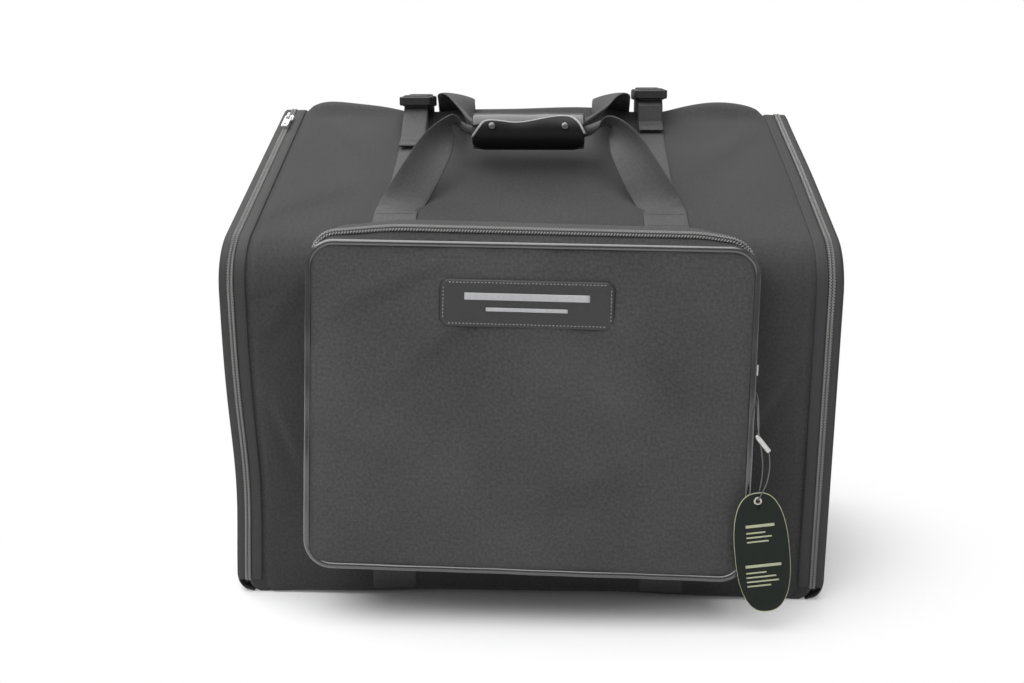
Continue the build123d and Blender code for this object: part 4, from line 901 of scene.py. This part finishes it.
# Folds of the pocket's face: middle x and y, lean, half span and depth.
POCKET_FOLDS = ((-120, 92, 0.5, 60, 2.2), (-70, 50, 0.9, 45, 1.4), (95, 40, -0.6, 70, 1.6),
                (-135, -40, -0.3, 60, 1.4), (60, -70, 0.35, 80, 1.5))
s = np.sin(np.linspace(-1, 1, 141) * math.pi / 2) * 0.6 + np.linspace(-1, 1, 141) * 0.4
px, py = rounded_square(*np.meshgrid(s, s, indexing="ij"), WIDE, TALL, CORNER)
edge = np.minimum(WIDE / 2 - np.abs(px), TALL / 2 - np.abs(py))
full = 1 - np.exp(-edge / 16)
puff = full * (1.6 + 6.4 * np.cos(px / 190) * np.cos((py + 20) / 150))
for fold_x, fold_y, lean, span, depth in POCKET_FOLDS:
    across = (py - fold_y) - lean * (px - fold_x)
    puff -= depth * full * bell(across / 9) * bell((px - fold_x) / span)
    puff += 0.8 * depth * full * bell((across - 17) / 13) * bell((px - fold_x) / span)
waves = np.sin(px / 33 + py / 71) * np.sin(py / 39 - px / 97) + 0.5 * np.sin(px / 17) * bell(edge / 22)
puff += full * 1.1 * waves
puff -= 1.1 * bell((py - 96 - 0.03 * px) / 5) * full * smooth((np.abs(px) - 60) / 90) * 0.5
make("pocket_cloth", [grid(on_pocket(px, py + TALL / 2, 1.0 + puff))], nylon, "pocket_front", "pocket_panel",
     outward=(0, 0, 150), thick=1.0)

loop, away = pocket_loop(1.5)
piped = on_pocket(loop[:, 0] + away[:, 0] * 1.5, loop[:, 1] + away[:, 1] * 1.5)
turn = np.linspace(0, 2 * math.pi, len(loop), endpoint=False)
piped = piped + OUT * (0.35 * np.sin(turn * 9) + 0.25 * np.sin(turn * 23 + 1))[:, None]
outwards = away[:, :1] * ACROSS + away[:, 1:] * UP
make("piping", [carry(piped, outwards, ring(6.0, 6.0, 16, 2.0, -3.0), closed=True)], vinyl, "pocket_front",
     "pocket_piping")


def gusset(start, end, bulge, name, body, cad):
    """Side wall of the pocket between two depths, swelling by sin(pi t) and rippled along its seam."""
    t = np.linspace(0, 1, 19)[None]
    depth = start + (end - start) * t
    run = np.arange(len(loop))[:, None] * 1.5
    grow = -0.5 + bulge * np.sin(math.pi * t) ** 0.7 + 0.25 * np.sin(run / 7) * np.sin(math.pi * t)
    points = on_pocket(loop[:, :1] + away[:, :1] * grow, loop[:, 1:] + away[:, 1:] * grow, 0.0, depth)
    make(name, [grid(points, round_u=True)], nylon_side, body, cad, outward=(0, -165, 190), thick=1.0,
         settled=False)


foot = on_pocket(loop[:, 0], loop[:, 1], 0.0, SETBACK) - [0, SETBACK, 0]
reach = case_y(foot[:, 2])[:, None] - foot[:, 1:2] + 1.0
gusset(0.3, SETBACK - 0.3, 0.9, "pocket_front_wall", "pocket_front", "pocket_front_gusset")
gusset(SETBACK + 0.3, reach, 2.6, "pocket_back_wall", "flap", "pocket_back_gusset")

# The pocket's zip runs from its slider on the right side over the top to the left corner.
zip_start = int(np.argmin(np.abs(loop[:, 1] - 176) + 1000 * (loop[:, 0] < 0)))
zip_end = int(np.argmin(np.abs(loop[:, 1] - (TALL - CORNER)) + 1000 * (loop[:, 0] > 0)))
route, lead = loop[zip_start: zip_end + 1], away[zip_start: zip_end + 1]
lead3 = lead[:, :1] * ACROSS + lead[:, 1:] * UP
for name, body, cad, rear in (("pocket_front", "pocket_front", "pocket_front_coil", -1),
                              ("pocket_back", "flap", "pocket_back_coil", 1)):
    top = smooth(lead[:, 1])[:, None]
    grown = route + lead * top * (1.15 * rear + 0.6)
    path = on_pocket(grown[:, 0], grown[:, 1], 0.0, SETBACK + rear * 1.45 * (1 - 0.45 * top[:, 0]))
    facing = unit(lead3 + OUT * 1.1 * top)
    make(f"{name}_teeth", [coil(path, facing, 3.1, 2.1, 0.5, 0.45)], coil_painted_glint, body, cad, settled=False)
    tape = carry(path + rear * 2.7 * unit(np.cross(facing, np.gradient(path, axis=0))), facing,
                 ring(3.6, 1.0, 10, 3.0, -0.2))
    make(f"{name}_tape", [tape], zip_tape, body, settled=False)


# ---- Patch with a frame of stitches and two bars ----
PATCH_X, PATCH_Y = -3.0, 230.0
HALF_PATCH, HALF_TALL = 73.0, 21.5


def on_patch(x, y, out):
    """Point over the patch, which follows the swell of the pocket's face."""
    x, y, out = np.broadcast_arrays(x, y, out)
    crown = 6.4 * np.cos((PATCH_X + x) / 190) * np.cos((PATCH_Y + y - 120) / 150)
    return on_pocket(PATCH_X + x, PATCH_Y + y, 2.9 + crown + out)


a, b = np.meshgrid(np.linspace(-1, 1, 75), np.linspace(-1, 1, 33), indexing="ij")
cut = 6.0 * np.clip((np.abs(a) * HALF_PATCH - 67) / 6, 0, 1)
px, py = a * HALF_PATCH, b * (HALF_TALL - cut)
edge = np.minimum(HALF_PATCH - np.abs(px), HALF_TALL - np.abs(py))
edge = np.minimum(edge, (HALF_PATCH + HALF_TALL - 6.0 - np.abs(px) - np.abs(py)) / 1.41)
raised = 1.5 * (1 - np.exp(-np.clip(edge, 0, None) / 0.7)) - 0.25 * bell((edge - 3.2) / 0.9)
make("patch_hide", [grid(on_patch(px, py, raised))], patch_hide, "pocket_front", "pocket_patch",
     outward=(0, 0, 150), thick=1.2)
sides = [(np.linspace(-66, 66, 50), y) for y in (-18.3, 18.3)]
sides += [(x, np.linspace(-14.5, 14.5, 14)) for x in (-69.8, 69.8)]
make("patch_stitching", [stitches(on_patch(x, y, 1.25), OUT, 3.0, 2.2, 0.7) for x, y in sides], pale_print,
     "pocket_front")
bars = [carry(on_patch(np.linspace(-half, half, 30), y, 1.4), OUT, ring(width, 0.8, 12, 3.0, -0.2))
        for half, y, width in ((52, 5.5, 6.0), (34, -6.0, 3.2))]
make("patch_bars", bars, pale_print, "pocket_front")

# ---- Hang tag, its loop and eyelet ----
TILT = math.radians(7.5)
EYE = np.array([193.0, -206.6, 121.0])
TAG_ACROSS = np.array([math.cos(TILT), 0, math.sin(TILT)])
TAG_DOWN = np.array([math.sin(TILT), 0, -math.cos(TILT)])


def tag_layer(inner, outer, thick, count=96):
    """Ring of card between two lines, inner and outer millimetres inside the oval's edge.

    Without inner, the ring reaches in to the eyelet's hole.
    """
    a = np.linspace(0, 2 * math.pi, count, endpoint=False)
    oval = np.stack([23.0 * np.sign(np.sin(a)) * np.abs(np.sin(a)) ** 0.8,
                     46.8 - 54.0 * np.sign(np.cos(a)) * np.abs(np.cos(a)) ** 0.8], axis=1)
    way = unit(oval)
    hole = way * 2.2
    reach = np.linalg.norm(oval, axis=1)[:, None]
    t = np.concatenate([np.linspace(0, 1, 16), np.linspace(1, 0, 16)])[None]
    side = np.concatenate([np.full(16, -1.0), np.full(16, 1.0)])
    near = np.zeros_like(reach) if inner is None else 1 - inner / reach
    t = (near + (1 - outer / reach - near) * t)[..., None]
    flat = hole[:, None] * (1 - t) + oval[:, None] * t
    bow = 0.25 * np.cos(flat[..., 0] / 9) + 0.2 * np.sin(flat[..., 1] / 30)
    depth = side[None] * thick / 2 - bow + 0.2
    points = EYE + flat[..., :1] * TAG_ACROSS + flat[..., 1:] * TAG_DOWN
    return grid(points + depth[..., None] * np.array([0, 1.0, 0]), round_u=True, round_v=True)


make("tag_card", [tag_layer(None, 0.3, 0.75)], card_face, "tag", "hang_tag")
make("tag_card_edge", [tag_layer(0.8, 0.0, 0.8)], card_core, "tag")
# Bars of the card: distance below the eyelet, left and right end, width.
TAG_BARS = ((22, -12, 12, 2.6), (28, -12, 4, 1.4), (32, -12, 9, 1.4), (36, -12, 6, 1.4), (58, -15, 15, 2.6),
            (64, -15, 2, 1.4), (68, -15, 10, 1.4), (72, -15, 12, 1.4), (76, -15, 5, 1.4))
bars = []
for down, left, right, width in TAG_BARS:
    line = EYE + np.linspace(left, right, 16)[:, None] * TAG_ACROSS + down * TAG_DOWN + [0, -0.55, 0]
    bars.append(carry(line, FORWARDS, ring(width, 0.3, 10, 3.0)))
make("tag_bars", bars, card_core, "tag")
rolled = [(1.9, -0.75), (2.3, -1.05), (2.9, -1.05), (3.5, -0.7), (3.6, -0.45), (2.3, -0.4), (2.3, 0.4),
          (3.6, 0.45), (3.5, 0.7), (2.9, 1.05), (2.3, 1.05), (1.9, 0.75), (1.9, -0.75)]
make("eyelet", [lathe(EYE, BACKWARDS, rolled)], eyelet_metal, "tag", "tag_eyelet")

# From the lock through the pull's eye, down behind the card, through the eyelet and up again.
ROUTE = np.array([
    (190.4, -206.8, 176), (191.8, -201.4, 184), (193.138, -191.406, 190.935), (194.038, -182.406, 198.935),
    (194.338, -175.406, 203.835), (194.138, -171.606, 204.635), (190.138, -171.206, 204.635),
    (190.138, -174.806, 203.435), (192.538, -179.606, 199.835), (193.238, -185.906, 193.035),
    (191.938, -194.406, 182.935), (192.2, -203.6, 177), (194.2, -203.6, 165), (196.4, -203.7, 152),
    (196, -203.8, 138), (194.2, -204, 128), (193, -204.1, 121.3), (193, -208.4, 121.3), (194.6, -209.1, 127),
    (198.6, -209.4, 135.5), (200.6, -209.6, 146), (200.8, -209.2, 156), (199.6, -208.4, 164.8)]) / 1000
curve = bpy.data.curves.new("tag_string", "CURVE")
curve.dimensions = "3D"
string = curve.splines.new("NURBS")
string.points.add(len(ROUTE) - 1)
string.points.foreach_set("co", np.column_stack([ROUTE, np.ones(len(ROUTE))]).ravel())
string.order_u, string.resolution_u, string.use_endpoint_u = 3, 8, True
CORD_LENGTH, CORD_ROUND = 0.1955, 0.001
curve.bevel_depth, curve.bevel_resolution, curve.use_fill_caps = CORD_ROUND / 2, 3, True
curve.materials.append(pale_cord)
tag_string = bpy.data.objects.new("tag_string", curve)
bpy.context.collection.objects.link(tag_string)
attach(tag_string, "tag")
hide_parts("tag_loop")

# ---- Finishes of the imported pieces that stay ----
KEPT = {"nylon_cover": nylon_flat, "board": board_plastic, "foam": foam_cut, "plush_lining": lining_plush,
        "zip_metal": plated_painted_highlight, "buckle_plastic": plastic, "snap_metal": snap_metal, "tag_plastic": pale_plastic,
        "eyelet_metal": eyelet_metal}
for part in frame["record"]["subparts"]:
    if part["material_slot"] in KEPT:
        kept = frame["nodes"][part["node"]]
        if not kept.material_slots:
            kept.data.materials.append(KEPT[part["material_slot"]])
        kept.material_slots[0].material = KEPT[part["material_slot"]]

# ---- Floor: it keeps the shadow near the case and fades to white further out ----
bpy.ops.mesh.primitive_plane_add(size=14, location=(0, 0, -0.0005))
floor = bpy.context.object
floor.name = "floor"
floor_paint = bpy.data.materials.new("pale floor")
floor_paint.use_nodes = True
floor_shader = floor_paint.node_tree.nodes["Principled BSDF"]
floor_shader.inputs["Base Color"].default_value = (0.97, 0.97, 0.97, 1)
floor_shader.inputs["Roughness"].default_value = 0.7
floor_tree = floor_paint.node_tree
near = node(floor_tree, "ShaderNodeVectorMath", _0=node(floor_tree, "ShaderNodeTexCoord").outputs["Object"],
            _1=(0.6, 1.0, 1.0))
near.operation = "MULTIPLY"
spot = node(floor_tree, "ShaderNodeVectorMath", _0=near.outputs[0])
spot.operation = "LENGTH"
FADE_START, FADE_END = 0.15, 0.33
fade = node(floor_tree, "ShaderNodeMapRange", Value=spot.outputs["Value"], From_Min=FADE_START,
            From_Max=FADE_END)
fade.interpolation_type = "SMOOTHSTEP"
seen_floor = node(floor_tree, "ShaderNodeLightPath").outputs["Is Camera Ray"]
glow = node(floor_tree, "ShaderNodeEmission", Strength=1.0)
far = maths(floor_tree, "MULTIPLY", fade.outputs[0], seen_floor)
blended = node(floor_tree, "ShaderNodeMixShader", _0=far, _1=floor_shader.outputs[0], _2=glow.outputs[0])
floor_tree.links.new(blended.outputs[0], floor_tree.nodes["Material Output"].inputs["Surface"])
floor.data.materials.append(floor_paint)
floor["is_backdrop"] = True

# ---- Light and camera: white seen directly, a weaker fill on the case ----
world = bpy.data.worlds.new("studio")
bpy.context.scene.world = world
world.use_nodes = True
sky = world.node_tree
sky.nodes.clear()
paths = sky.nodes.new("ShaderNodeLightPath")
fill, white = (node(sky, "ShaderNodeBackground", Color=(1, 1, 1, 1), Strength=power) for power in (0.29, 1.0))
seen = maths(sky, "MAXIMUM", paths.outputs["Is Camera Ray"], paths.outputs["Is Transmission Ray"])
mix = node(sky, "ShaderNodeMixShader", _0=seen, _1=fill.outputs[0], _2=white.outputs[0])
node(sky, "ShaderNodeOutputWorld", Surface=mix.outputs[0])


def lamp(name, place, target, size, power):
    """Rectangular soft light turned to its target."""
    light = bpy.data.lights.new(name, "AREA")
    light.shape, light.size, light.size_y, light.energy = "RECTANGLE", size[0], size[1], power
    made = bpy.data.objects.new(name, light)
    bpy.context.collection.objects.link(made)
    made.location = place
    made.rotation_euler = (Vector(target) - Vector(place)).to_track_quat("-Z", "Y").to_euler()
    made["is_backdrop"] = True


lamp("overhead", (-0.5, -0.12, 2.2), (0, 0, 0.3), (3.4, 2.8), 92)
lamp("front_left", (-1.5, -1.9, 1.5), (0, -0.1, 0.3), (1.0, 1.4), 2)
lamp("front_right", (1.6, -1.8, 1.2), (0, -0.1, 0.25), (0.9, 1.3), 3)

lens = bpy.data.cameras.new("camera")
lens.sensor_width, lens.lens = 36.0, 37.79
camera = bpy.data.objects.new("camera", lens)
bpy.context.collection.objects.link(camera)
camera.location = (0.018, -1.0557, 0.450)
camera.rotation_euler = (math.radians(90 - 12.9), 0, math.radians(2.0))
bpy.context.scene.camera = camera
bpy.context.scene.view_settings.view_transform = "Standard"

low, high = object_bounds()
